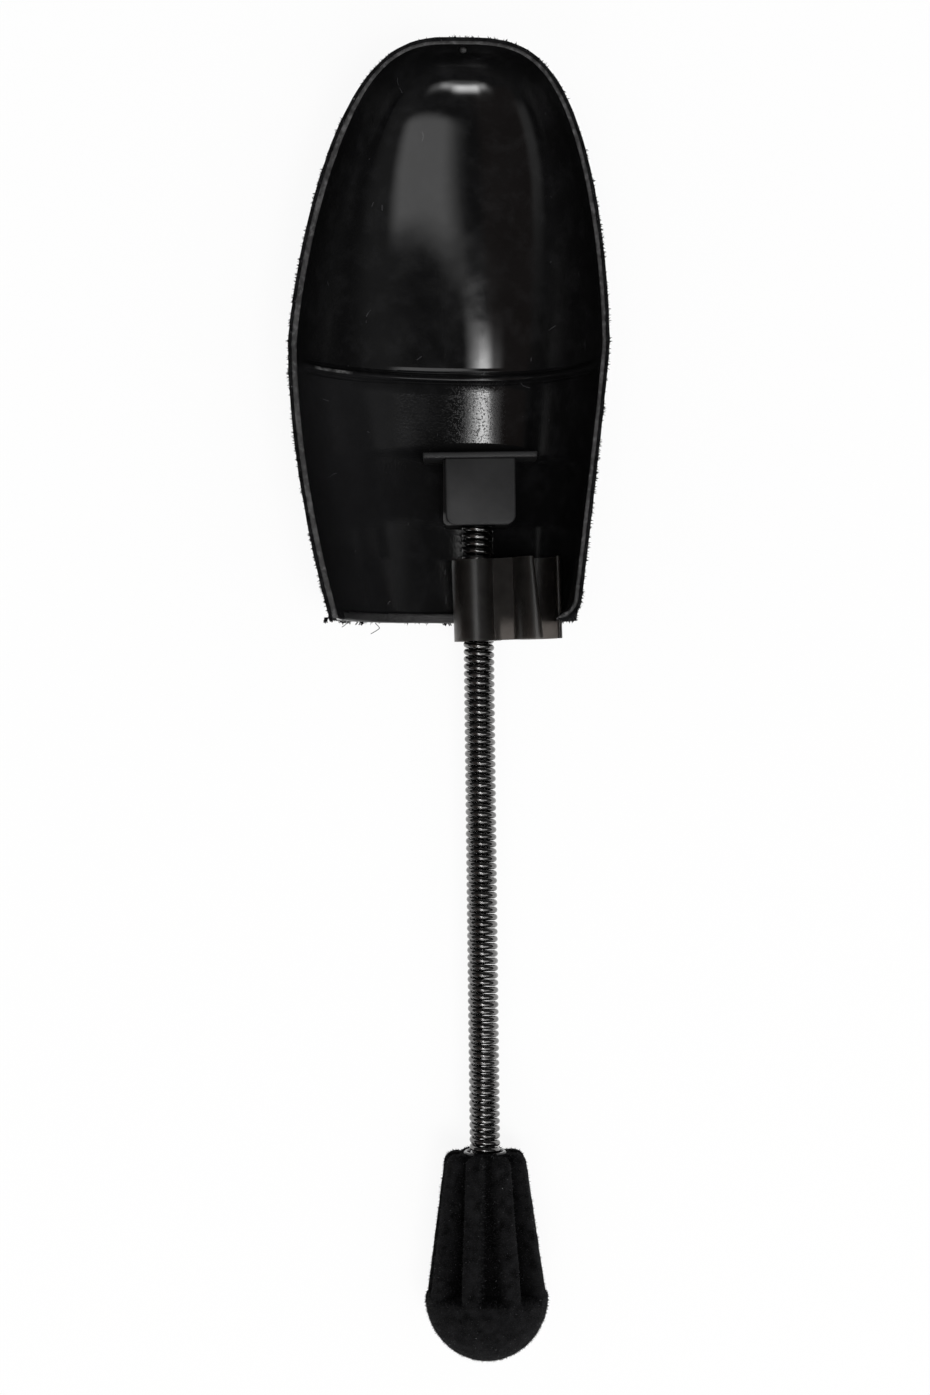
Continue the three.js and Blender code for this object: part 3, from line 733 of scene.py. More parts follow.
def inner_relief(piece, first, count, settings):
    """Raises the cross ridge and the rear lip out of the inner surface."""
    mesh = piece.data
    mesh.update()
    normals = [Vector(mesh.vertices[i].normal) for i in range(first, first + count)]
    for i in range(count):
        vertex = mesh.vertices[first + i]
        y, z = vertex.co.y / MM, vertex.co.z / MM
        off = abs(y - RIDGE_Y) - settings.ridge_half / MM
        wide, deep = RIDGE_GROOVE
        if off < wide and not at_rim(vertex.co):
            fade = 1 - smooth(z, *RIDGE_FADE)
            if off < 0:
                part = 1 + off / (settings.ridge_half / MM)
                rise = settings.ridge_height * math.sqrt(1 - part ** 2)
            else:
                rise = -deep * MM * math.sin(math.pi * off / wide)
            vertex.co += normals[i] * rise * fade
        if y < LIP_FRONT_Y + LIP_STEP and not at_rim(vertex.co):
            rise = 1 - smooth(y, LIP_FRONT_Y - LIP_STEP / 2, LIP_FRONT_Y + LIP_STEP)
            fade = 1 - smooth(z, *LIP_FADE)
            moved = vertex.co + normals[i] * settings.lip_height * rise * fade
            vertex.co = Vector((moved.x, vertex.co.y, moved.z))


def fibres(name, source, density, length, radius, seed, wanted):
    """Loose fibres on a source mesh where wanted(point, normal) gives a share, as one mesh of thin spikes."""
    chance = random.Random(seed)
    verts = []
    faces = []
    mesh = source.data
    mesh.update()
    for polygon in mesh.polygons:
        normal = Vector(polygon.normal)
        corners = [mesh.vertices[i].co for i in polygon.vertices]
        share = wanted(polygon.center, normal)
        amount = polygon.area / MM ** 2 * density * share
        whole = int(amount) + (1 if chance.random() < amount - int(amount) else 0)
        for _ in range(whole):
            a, b, c = corners[:3]
            if len(corners) > 3 and chance.random() < 0.5:
                a, b, c = corners[0], corners[2], corners[3]
            u, v = chance.random(), chance.random()
            if u + v > 1:
                u, v = 1 - u, 1 - v
            root = a + (b - a) * u + (c - a) * v
            stray = Vector((chance.gauss(0, 1), chance.gauss(0, 1), chance.gauss(0, 1)))
            way = (normal + stray * FIBRE_STRAY).normalized()
            side = way.orthogonal().normalized() * radius
            other = way.cross(side)
            tip = root + way * length * chance.uniform(*FIBRE_LENGTHS)
            base = root - normal * radius
            k = len(verts)
            verts += [base + side, base - side * 0.5 + other * 0.87, base - side * 0.5 - other * 0.87, tip]
            faces += [(k, k + 1, k + 3), (k + 1, k + 2, k + 3), (k + 2, k, k + 3), (k, k + 2, k + 1)]
    mesh = bpy.data.meshes.new(name)
    mesh.from_pydata(verts, [], faces)
    piece = bpy.data.objects.new(name, mesh)
    bpy.context.scene.collection.objects.link(piece)
    return piece


def tuft(name, place, count, length, seed):
    """A clump of loose fibres that hangs off the rear edge at a place in millimetres."""
    chance = random.Random(seed)
    strands = []
    for _ in range(count):
        spread = (chance.gauss(0, TUFT_SPREAD[0]), TUFT_INSET, chance.gauss(0, TUFT_SPREAD[1]))
        root = Vector(place) + Vector(spread)
        way = Vector((chance.gauss(0, TUFT_STRAY[0]), -1, chance.gauss(0, TUFT_STRAY[1]))).normalized()
        size = length * chance.uniform(*TUFT_LENGTHS)
        curl = Vector((chance.gauss(0, TUFT_CURL), 0, chance.gauss(0, TUFT_CURL))) * size
        middle = root + way * size * 0.5 + curl
        strands.append(thread(name, [root, middle, root + way * size], TUFT_RADIUS))
    return strands


def pale_fibres(piece, seed, share):
    """Gives the fibres, which are the only small triangles of a piece, one of two paler materials: partly
    lint, partly painted sheen of lit fuzz.
    """
    chance = random.Random(seed)
    # Paler fibres: partly lint, partly painted sheen of lit fuzz
    piece.data.materials.append(fuzz_material("velvet_fibre_sheen", tint(colours().velvet, 3.0)))
    piece.data.materials.append(fuzz_material("velvet_lint_and_sheen", tint(colours().velvet, 14)))
    fibre = 1
    for polygon in piece.data.polygons:
        if len(polygon.vertices) != 3 or polygon.area > FIBRE_AREA:
            continue
        if polygon.index % 4 == 0:
            fibre = 2 if chance.random() < share else 1
        polygon.material_index = fibre


def thread(name, points, radius):
    """A loose thread as a thin tube through points in millimetres."""
    deselect()
    curve = bpy.data.curves.new(name, "CURVE")
    curve.dimensions = "3D"
    curve.bevel_depth = radius * MM
    curve.bevel_resolution = 1
    curve.resolution_u = 6
    curve.use_fill_caps = True
    spline = curve.splines.new("NURBS")
    spline.points.add(len(points) - 1)
    for point, place in zip(spline.points, points):
        point.co = (*(Vector(place) * MM), 1)
    spline.use_endpoint_u = True
    spline.order_u = 3
    piece = bpy.data.objects.new(name, curve)
    bpy.context.scene.collection.objects.link(piece)
    pick(piece)
    bpy.ops.object.convert(target="MESH")
    return bpy.context.object


def uneven(piece, size, height, seed):
    """Moves each vertex along its normal by smooth noise of a size, up to a height."""
    mesh = piece.data
    mesh.update()
    moves = []
    for vertex in mesh.vertices:
        value = noise.noise(Vector(vertex.co) / size + Vector((seed, 0, 0)))
        moves.append(Vector(vertex.normal) * value * height)
    for vertex, move in zip(mesh.vertices, moves):
        vertex.co += move


# Materials


class Nodes:
    """A short way to write a node material with Object coordinates."""

    def __init__(self, name):
        self.material = bpy.data.materials.new(name)
        self.material.use_nodes = True
        self.tree = self.material.node_tree
        self.tree.nodes.clear()
        self.out = self.tree.nodes.new("ShaderNodeOutputMaterial")
        self.coords = self.tree.nodes.new("ShaderNodeTexCoord").outputs["Object"]

    def add(self, kind, inputs=None, **values):
        """A node with values, its inputs linked or set."""
        node = self.tree.nodes.new(kind)
        for key, value in values.items():
            setattr(node, key, value)
        for key, value in (inputs or {}).items():
            if isinstance(value, bpy.types.NodeSocket):
                self.tree.links.new(value, node.inputs[key])
            else:
                node.inputs[key].default_value = value
        return node

    def noise(self, size, detail=3.0, rough=0.6, vector=None):
        """Noise with features of a size in millimetres."""
        node = self.add("ShaderNodeTexNoise", {"Vector": vector or self.coords, "Scale": 1 / (size * MM),
                                               "Detail": detail, "Roughness": rough})
        return node.outputs["Fac"]

    def remap(self, value, low, high, to_low=0.0, to_high=1.0):
        """A value mapped from one range to another and held at its ends."""
        node = self.add("ShaderNodeMapRange", {"Value": value, "From Min": low, "From Max": high,
                                               "To Min": to_low, "To Max": to_high})
        return node.outputs["Result"]

    def over(self, value, span, to_low=0.0, to_high=1.0):
        """A place mapped from a span in millimetres to another range."""
        return self.remap(value, span[0] * MM, span[1] * MM, to_low, to_high)

    def off(self, value, place):
        """Distance of a coordinate from a place in millimetres."""
        return self.maths("ABSOLUTE", self.maths("SUBTRACT", value, place * MM))

    def maths(self, operation, a, b=0.0):
        """One step of arithmetic."""
        node = self.add("ShaderNodeMath", {0: a, 1: b}, operation=operation)
        return node.outputs["Value"]

    def blend(self, factor, a, b):
        """Two colours mixed by a factor."""
        node = self.add("ShaderNodeMix", {"Factor": factor}, data_type="RGBA")
        for socket, value in ((node.inputs[6], a), (node.inputs[7], b)):
            if isinstance(value, bpy.types.NodeSocket):
                self.tree.links.new(value, socket)
            else:
                socket.default_value = (*value[:3], 1)
        return node.outputs[2]

    def tones(self, value, low, high, colour, dark, light):
        """A colour from a dark to a light share of it, as a value goes from low to high."""
        return self.blend(self.remap(value, low, high), tint(colour, dark), tint(colour, light))

    def bump(self, height, strength, distance, normal=None):
        """A bumped normal, with its depth in millimetres."""
        inputs = {"Height": height, "Strength": strength, "Distance": distance * MM}
        if normal is not None:
            inputs["Normal"] = normal
        return self.add("ShaderNodeBump", inputs).outputs["Normal"]

    def finish(self, inputs):
        """The material with its shader."""
        shader = self.add("ShaderNodeBsdfPrincipled", inputs)
        self.tree.links.new(shader.outputs["BSDF"], self.out.inputs["Surface"])
        return self.material


def tint(colour, factor):
    """A colour made lighter or darker."""
    return tuple(value * factor for value in colour)


def specks(n, size, share, radius):
    """A mask of small round specks, one in a share of the cells."""
    cells = n.add("ShaderNodeTexVoronoi", {"Vector": n.coords, "Scale": 1 / (size * MM)})
    near = n.maths("LESS_THAN", cells.outputs["Distance"], radius)
    split = n.add("ShaderNodeSeparateColor", {"Color": cells.outputs["Color"]})
    chosen = n.maths("LESS_THAN", split.outputs["Red"], share)
    return n.maths("MULTIPLY", near, chosen)


def scratches(n):
    """A mask of a few curved hairlines."""
    stray = n.noise(14.0, 1.0)
    moved = n.add("ShaderNodeVectorMath", {0: n.coords, 1: stray}, operation="ADD")
    bent = n.add("ShaderNodeMix", {"Factor": 0.012, 4: n.coords, 5: moved.outputs["Vector"]},
                 data_type="VECTOR")
    cells = n.add("ShaderNodeTexVoronoi", {"Vector": bent.outputs[1], "Scale": 1 / (17 * MM)},
                  feature="DISTANCE_TO_EDGE")
    line = n.maths("LESS_THAN", cells.outputs["Distance"], 0.006)
    few = n.maths("GREATER_THAN", n.noise(6.0, 2.0), 0.65)
    return n.maths("MULTIPLY", line, few)


def shell_roughness(n, x, y, z, front, clouds):
    """Roughness of the shell: clouded gloss in front, satin with a sparkle behind, rougher up its sides."""
    sparkle = n.maths("MULTIPLY", n.remap(n.noise(0.5, 2.0), 0.52, 0.58),
                      n.over(n.off(x, STRIP_X), STRIP_HALF, SPARKLE_ROUGH, 0.0))
    sparkle = n.maths("MULTIPLY", sparkle, n.over(y, STRIP_FROM_Y))
    sides = n.maths("MAXIMUM", n.over(n.off(x, SIDES_MIDDLE_X), SIDES_FADE, 0.0, SIDES_ROUGH),
                    n.over(z, UPPER_FADE_Z, 0.0, SIDES_ROUGH))
    satin = n.maths("ADD", sparkle, n.maths("MAXIMUM", sides, SATIN_ROUGH))
    gloss = n.maths("ADD", n.remap(clouds, 0.35, 0.65, *GLOSS_ROUGH), sides)
    gloss = n.maths("MINIMUM", gloss, GLOSS_MOST)
    return n.add("ShaderNodeMix", {0: front, 2: satin, 3: gloss}, data_type="FLOAT").outputs[0]


def ridge_highlight(n, x, y):
    """A mask of the painted highlight at the ridge's left end."""
    at_end = n.maths("MULTIPLY", n.over(x, HIGHLIGHT_RIGHT_X), n.over(x, HIGHLIGHT_LEFT_X))
    on_ridge = n.over(n.off(y, RIDGE_Y + HIGHLIGHT_SHIFT), HIGHLIGHT_OFF_RIDGE, 1.0, 0.0)
    patchy = n.remap(n.noise(2.5, 3.0), 0.38, 0.52, 0.2, 1.0)
    return n.maths("MULTIPLY", n.maths("MULTIPLY", on_ridge, at_end), patchy)


def shell_material():
    """Black plastic, glossy in front of the ridge and satin with a fine grain behind it, with painted light
    on its rear left and a painted highlight at the ridge's left end.
    """
    n = Nodes("shell_plastic")
    colour = colours().plastic
    x, y, z = n.add("ShaderNodeSeparateXYZ", {"Vector": n.coords}).outputs
    front = n.over(y, (RIDGE_Y - 1, RIDGE_Y + 1))
    clouds = n.noise(9.0, 4.0)
    rough = shell_roughness(n, x, y, z, front, clouds)
    waves = n.bump(n.noise(8.0, 1.0), 0.2, 0.07)
    bump = n.bump(n.noise(0.6, 3.0, 0.7), n.remap(front, 0.0, 1.0, 0.8, 0.02), 0.02, waves)
    base = n.tones(clouds, 0.3, 0.7, colour, 0.8, 1.2)
    base = n.blend(n.remap(n.noise(5.0, 5.0, 0.65), 0.48, 0.68), base, tint(colour, 2.0))
    # Painted light: behind the ridge the roof turns lighter towards the left, in patches
    painted_left_light = n.maths("MULTIPLY", n.remap(front, 0.0, 1.0, 1.0, 0.0), n.over(x, LEFT_LIGHT_X))
    painted_left_light = n.maths("MULTIPLY", painted_left_light, n.remap(clouds, 0.3, 0.7, 0.7, 1.0))
    base = n.blend(painted_left_light, base, tint(colour, 3.2))
    # Painted highlight: a pale streak at the ridge's left end
    base = n.blend(ridge_highlight(n, x, y), base, (0.11, 0.11, 0.11))
    base = n.blend(scratches(n), base, tint(colour, 8))
    base = n.blend(specks(n, 2.4, 0.06, 0.05), base, tint(colour, 12))
    return n.finish({"Base Color": base, "Roughness": rough, "Normal": bump, "IOR": 1.46})


def rim_material():
    """The rim's trimmed edge: grey, slightly rough, with light specks."""
    n = Nodes("shell_rim")
    colour = colours().rim
    grain = n.noise(1.3, 4.0, 0.7)
    long_tone = n.noise(9.0, 3.0)
    base = n.tones(long_tone, 0.35, 0.65, colour, 0.4, 1.6)
    base = n.blend(n.remap(grain, 0.52, 0.66, 0.0, 0.9), base, tint(colour, 3.2))
    base = n.blend(n.remap(grain, 0.47, 0.36, 0.0, 0.9), base, tint(colour, 0.2))
    rough = n.remap(grain, 0.3, 0.7, 0.42, 0.62)
    bump = n.bump(grain, 0.5, 0.12)
    return n.finish({"Base Color": base, "Roughness": rough, "Normal": bump})


def seat_material():
    """The holder's seat walls, matt with a fine grain and a painted highlight round the rear left corner."""
    n = Nodes("seat_plastic")
    colour = colours().plastic
    grain = n.noise(0.5, 2.0)
    base = n.tones(grain, 0.35, 0.65, colour, 0.7, 1.3)
    # Painted highlight: a pale spot round the seat's rear left corner
    corner = Vector((HOLDER_X + SEAT_SHIFT - PLATE_WIDTH / 2, PLATE_REAR_Y, SEAT_TOP_Z)) * MM
    away = n.add("ShaderNodeVectorMath", {0: n.coords, 1: corner}, operation="DISTANCE").outputs["Value"]
    base = n.blend(n.over(away, SEAT_CORNER_HIGHLIGHT, 1.0, 0.0), base, (0.05, 0.05, 0.05))
    rough = n.remap(grain, 0.3, 0.7, 0.55, 0.7)
    bump = n.bump(grain, 0.3, 0.05)
    return n.finish({"Base Color": base, "Roughness": rough, "Normal": bump, "Specular IOR Level": 0.15})


def lip_material():
    """The rear lip's trimmed edge, with streaks across the shell."""
    n = Nodes("shell_lip")
    colour = tint(colours().rim, 0.8)
    long_coords = n.add("ShaderNodeVectorMath", {0: n.coords, 1: (0.08, 1.0, 1.0)}, operation="MULTIPLY")
    streak = n.noise(0.35, 3.0, vector=long_coords.outputs["Vector"])
    base = n.tones(streak, 0.35, 0.65, colour, 0.5, 1.6)
    rough = n.remap(streak, 0.3, 0.7, 0.35, 0.55)
    bump = n.bump(streak, 0.4, 0.06)
    return n.finish({"Base Color": base, "Roughness": rough, "Normal": bump})


def groove_shade(n):
    """A mask of painted shade in the knob's grooves, dark at their floors and 1 at the fins' tips."""
    x, y, z = n.add("ShaderNodeSeparateXYZ", {"Vector": n.coords}).outputs
    slope = math.tan(math.radians(LEAN_DEG))
    middle = n.maths("MULTIPLY_ADD", y, -slope)
    middle.node.inputs[2].default_value = (AXIS_X + LEAN_Y * slope) * MM
    across = n.maths("SUBTRACT", x, middle)
    up = n.maths("SUBTRACT", z, AXIS_Z * MM)
    radius = n.maths("SQRT", n.maths("ADD", n.maths("POWER", across, 2.0), n.maths("POWER", up, 2.0)))
    tip = n.over(y, (KNOB_TOP_Y, FIN_FOOT_Y), FIN_TIP[0] * MM, FIN_TIP[1] * MM)
    shade = n.over(n.maths("SUBTRACT", tip, radius), GROOVE_SHADE, 1.0, 0.25)
    return n.maths("MAXIMUM", shade, n.over(y, (FIN_FOOT_Y, LEDGE_Y)))


def velvet_material(grooved):
    """Black flock with a soft sheen, uneven tone and a little pale lint, and on the fins painted shade in the
    grooves.
    """
    n = Nodes("velvet_fins" if grooved else "velvet")
    colour = colours().velvet
    patches = n.noise(2.6, 4.0)
    pile = n.noise(0.28, 2.0)
    base = n.tones(patches, 0.32, 0.68, colour, 0.3, 2.2)
    base = n.blend(n.remap(pile, 0.55, 0.75, 0.0, 0.6), base, tint(colour, 3.4))
    sheen = n.remap(pile, 0.35, 0.7, 0.0, 0.05)
    if grooved:
        # Painted shade: darker towards the groove floors, with less sheen there
        shade = groove_shade(n)
        base = n.blend(shade, tint(colour, 0.1), base)
        sheen = n.maths("MULTIPLY", sheen, shade)
    base = n.blend(specks(n, 1.7, 0.05, 0.10), base, (0.16, 0.16, 0.165))
    height = n.maths("ADD", n.maths("MULTIPLY", patches, 0.5), pile)
    bump = n.bump(height, 1.0, 0.4)
    return n.finish({"Base Color": base, "Roughness": 0.95, "Normal": bump, "Sheen Weight": sheen,
                     "Sheen Roughness": 0.4, "Sheen Tint": (0.8, 0.8, 0.85, 1.0),
                     "Specular IOR Level": 0.05})


def fuzz_material(name, colour):
    """Loose fibres, a little paler than the flock: painted sheen of lit fuzz."""
    n = Nodes(name)
    tone = n.noise(0.8, 2.0)
    base = n.tones(tone, 0.3, 0.7, colour, 0.6, 1.4)
    return n.finish({"Base Color": base, "Roughness": 0.9, "Specular IOR Level": 0.2})


def holder_material():
    """Dark grey satin plastic with a fine grain and a few rub marks."""
    n = Nodes("holder_plastic")
    colour = colours().holder
    grain = n.noise(0.3, 2.0)
    clouds = n.noise(5.0, 4.0)
    base = n.tones(clouds, 0.35, 0.65, colour, 0.85, 1.15)
    base = n.blend(specks(n, 3.0, 0.10, 0.06), base, (0.12, 0.12, 0.12))
    rough = n.remap(grain, 0.3, 0.7, 0.40, 0.54)
    bump = n.bump(grain, 0.22, 0.05)
    return n.finish({"Base Color": base, "Roughness": rough, "Normal": bump, "Specular IOR Level": 0.35})


def steel_material():
    """Dark blackened steel wire, slightly rubbed."""
    n = Nodes("spring_steel")
    colour = colours().steel
    clouds = n.noise(3.0, 4.0)
    grain = n.noise(0.4, 2.0)
    base = n.tones(clouds, 0.35, 0.7, colour, 0.8, 1.25)
    rough = n.remap(clouds, 0.3, 0.7, 0.13, 0.19)
    bump = n.bump(grain, 0.08, 0.03)
    return n.finish({"Base Color": base, "Roughness": rough, "Normal": bump, "Metallic": 1.0})


def smoke_material():
    """Smoky see-through plastic with faint flow marks."""
    n = Nodes("smoked_plastic")
    colour = colours().smoke
    flow = n.noise(4.0, 3.0)
    base = n.tones(flow, 0.35, 0.65, colour, 0.85, 1.1)
    rough = n.remap(flow, 0.3, 0.7, 0.30, 0.38)
    bump = n.bump(n.noise(1.2, 2.0), 0.10, 0.05)
    return n.finish({"Base Color": base, "Roughness": rough, "Normal": bump, "IOR": 1.5,
                     "Specular IOR Level": 0.2, "Transmission Weight": 0.97})


def floor_material(shadow):
    """Pale floor: white to the camera, with a share that shows the shadow."""
    n = Nodes("pale_floor")
    tone = n.noise(400.0, 2.0)
    base = n.blend(n.remap(tone, 0.3, 0.7), (0.84, 0.84, 0.84), (0.86, 0.86, 0.86))
    diffuse = n.add("ShaderNodeBsdfDiffuse", {"Color": base}).outputs["BSDF"]
    white = n.add("ShaderNodeEmission", {"Color": (1, 1, 1, 1), "Strength": 1.0}).outputs["Emission"]
    path = n.add("ShaderNodeLightPath")
    seen = n.maths("MAXIMUM", path.outputs["Is Camera Ray"], path.outputs["Is Transmission Ray"])
    seen = n.maths("MAXIMUM", seen, path.outputs["Is Glossy Ray"])
    factor = n.maths("MULTIPLY", seen, 1 - shadow)
    mixed = n.add("ShaderNodeMixShader", {0: factor, 1: diffuse, 2: white})
    n.tree.links.new(mixed.outputs["Shader"], n.out.inputs["Surface"])
    return n.material


# Operators


class SHOETREE_OT_toe_shell(bpy.types.Operator):
    """Build the black toe shell with its ridge, lip, nub, grey rim and seat walls"""

    bl_idname = "shoe_tree.toe_shell"
    bl_label = "Toe Shell"

    def execute(self, context):
        settings = shape()
        plastic = shell_material()
        grey = rim_material()
        shell = shell_loft("toe_moulding")
        count = layer(shell, lambda point: -wall_at(point), 0.0)
        inner_relief(shell, count, count, settings)
        select_edges(shell, self.turns)
        bpy.ops.mesh.bevel(offset=settings.rim_round, segments=4, profile=0.5, clamp_overlap=False)
        tidy_mesh(shell, 40)
        finish_piece(shell, "toe", "toe_shell", "shell_plastic", plastic, grey, lip_material())
        low = (RIM_Z - RIM_BAND) * MM
        for polygon in shell.data.polygons:
            if polygon.center.z > low and polygon.normal.z > RIM_UP:
                polygon.material_index = 1
            elif polygon.center.y < LIP_FRONT_Y * MM and polygon.normal.z > LIP_UP:
                polygon.material_index = 2
        nub = self.nub()
        finish_piece(nub, "toe", "toe_shell", "shell_plastic", grey)
        seat = join(self.seat(), self.fillet())
        finish_piece(seat, "toe", "toe_shell", "shell_plastic", seat_material())
        return {"FINISHED"}

    def turns(self, a, b):
        """Whether an edge is one of the sharp edges round the rim."""
        return at_rim(a) and at_rim(b) and min(a.y, b.y) > (REAR_Y + 1.0) * MM and not self.spans(a, b)

    def spans(self, a, b):
        """Whether an edge crosses the rim's width."""
        return abs((b - a).length - rim_wall(a)) < NEAR * MM

    def nub(self):
        """The small nub left on the toe's rim."""
        deselect()
        bpy.ops.mesh.primitive_uv_sphere_add(segments=16, ring_count=10, radius=NUB_RADIUS * MM)
        nub = named("toe_nub")
        nub.data.transform(Matrix.Translation(Vector(NUB_PLACE) * MM) @ Matrix.Diagonal(NUB_STRETCH))
        tidy_mesh(nub, 60)
        return nub

    def fillet(self):
        """The hollow moulded fillet at the foot of the holder's flange."""
        rear = FLANGE_Y[1] + FILLET_GAP
        around = 2 * FILLET_STEPS + 2

        def place(column, row):
            x = HOLDER_X + FILLET_WIDTH * (column / FILLET_COLUMNS - 0.5)
            row %= around
            step = row if row <= FILLET_STEPS else around - 1 - row
            turn = math.pi / 2 * step / FILLET_STEPS
            y = rear + FILLET_RADIUS * (1 - math.sin(turn))
            low = roof_inside(x, y) - FILLET_SINK
            if row > FILLET_STEPS:
                return x, y, low
            rise = FILLET_SINK + FILLET_RADIUS * (1 - math.cos(turn))
            return x, y, low + rise * (1 - abs(2 * column / FILLET_COLUMNS - 1) ** FILLET_END_POWER)

        fillet = loft("flange_fillet", FILLET_COLUMNS, around, place)
        tidy_mesh(fillet, 40)
        return fillet

    def seat(self):
        """The walls round the holder that carry its plate."""
        front = FLANGE_Y[0] - SEAT_FRONT_GAP
        seat = corner_plate("holder_seat", HOLDER_X + SEAT_SHIFT, PLATE_WIDTH / 2 + SEAT_MARGIN,
                            front, PLATE_REAR_Y - SEAT_MARGIN, SEAT_TOP_Z, SEAT_CORNER)
        bpy.ops.mesh.delete(type="ONLY_FACE")
        bpy.ops.object.mode_set(mode="OBJECT")
        select_edges(seat, lambda a, b: min(a.y, b.y) > (front - NEAR) * MM)
        bpy.ops.mesh.delete(type="EDGE")
        bpy.ops.mesh.select_all(action="SELECT")
        bpy.ops.mesh.subdivide(number_cuts=SEAT_CUTS)
        bpy.ops.mesh.select_all(action="SELECT")
        extrude((0, 0, -SEAT_TOP_Z))
        bpy.ops.object.mode_set(mode="OBJECT")
        for vertex in seat.data.vertices:
            if vertex.co.z < SEAT_TOP_Z * MM / 2:
                vertex.co.z = (roof_inside(vertex.co.x / MM, vertex.co.y / MM) - SEAT_SINK) * MM
        apply_modifier(seat, "SOLIDIFY", thickness=SEAT_WALL * MM, offset=-1.0)
        cutter = rod("seat_notch", SEAT_NOTCH_SIDES, SEAT_NOTCH, SEAT_NOTCH_LENGTH, on_axis(PLATE_REAR_Y))
        for vertex in cutter.data.vertices:
            if vertex.co.z > AXIS_Z * MM + MERGE:
                vertex.co.z += SEAT_NOTCH_RISE * MM
        apply_modifier(seat, "BOOLEAN", operation="DIFFERENCE", object=cutter, solver="EXACT")
        bpy.data.objects.remove(cutter)
        round_edges(seat, SEAT_ROUND)
        tidy_mesh(seat, 35)
        return seat


def roof_inside(x, y):
    """Height of the roof's inner surface."""
    return shell_height(x, y) + shape().wall / MM


class SHOETREE_OT_toe_velvet(bpy.types.Operator):
    """Build the flocked skin of the toe shell with its loose fibres and threads"""

    bl_idname = "shoe_tree.toe_velvet"
    bl_label = "Toe Velvet"

    def execute(self, context):
        settings = shape()
        skin = shell_loft("toe_flock")
        layer(skin, lambda point: FLOCK_GAP * MM, settings.flock)
        uneven(skin, **TOE_WAVES)
        tidy_mesh(skin, 60)
        length = settings.fibre * TOE_FUZZ_LONGER
        fuzz = fibres("toe_fuzz", skin, length=length, wanted=self.share, **TOE_FUZZ)
        threads = [thread(name, points, THREAD_RADIUS) for name, points in THREADS.items()]
        for k, (x, count, length) in enumerate(TUFTS):
            root = (x, REAR_Y, shell_height(x, REAR_Y) - TUFT_LOW)
            threads += tuft("tuft", root, count, length, TUFT_SEED + k)
        join(skin, fuzz, *threads)
        finish_piece(skin, "toe", "toe_velvet", "velvet", velvet_material(False))
        pale_fibres(skin, **TOE_PALE)
        return {"FINISHED"}

    def share(self, point, normal):
        """Many fibres near the rim and the rear edge, few elsewhere."""
        if normal.z < FUZZ_NOT_BELOW:
            return 0.0
        if point.z > (RIM_Z - FUZZ_UNDER_RIM) * MM or point.y < (REAR_Y + FUZZ_FROM_REAR) * MM:
            return smooth(noise.noise(Vector(point) / (CLUMP_SIZE * MM)), *CLUMP_FADE)
        return FUZZ_ELSEWHERE


class SHOETREE_OT_spring_holder(bpy.types.Operator):
    """Build the T-shaped cap that holds the spring's toe end"""

    bl_idname = "shoe_tree.spring_holder"
    bl_label = "Spring Holder"

    def execute(self, context):
        plate = self.plate()
        flange = self.flange()
        peg = self.peg()
        join(plate, flange, peg)
        lean(plate)
        tidy_mesh(plate, 35)
        finish_piece(plate, "toe", "spring_holder", "holder_plastic", holder_material())
        return {"FINISHED"}

    def plate(self):
        """The plate over the spring's end."""
        plate = corner_plate("holder_cap", HOLDER_X, PLATE_WIDTH / 2, FLANGE_Y[0], PLATE_REAR_Y,
                             PLATE_LOW_Z, PLATE_CORNER)
        extrude((0, 0, PLATE_THICK))
        outwards()
        round_edges(plate, PLATE_ROUND)
        return plate

    def flange(self):
        """The cross flange, whose foot follows the roof."""
        steps = 12

        def place(column, row):
            x = HOLDER_X + FLANGE_WIDTH * (column / steps - 0.5)
            foot = roof_inside(x, FLANGE_Y[0]) + FLANGE_FOOT_GAP
            return x, FLANGE_Y[0], foot if row == 0 else FLANGE_TOP_Z

        flange = loft("holder_flange", steps, 1, place)
        edit_all(flange)
        extrude((0, FLANGE_Y[1] - FLANGE_Y[0], 0))
        outwards()
        round_edges(flange, FLANGE_ROUND)
        return flange

    def peg(self):
        """The peg that fills the spring's end."""
        middle = Vector((AXIS_X, FLANGE_Y[0] - PEG_LENGTH / 2, AXIS_Z)) * MM
        peg = rod("holder_peg", PEG_SIDES, PEG_RADIUS, PEG_LENGTH, middle)
        round_edges(peg, PEG_ROUND)
        return peg


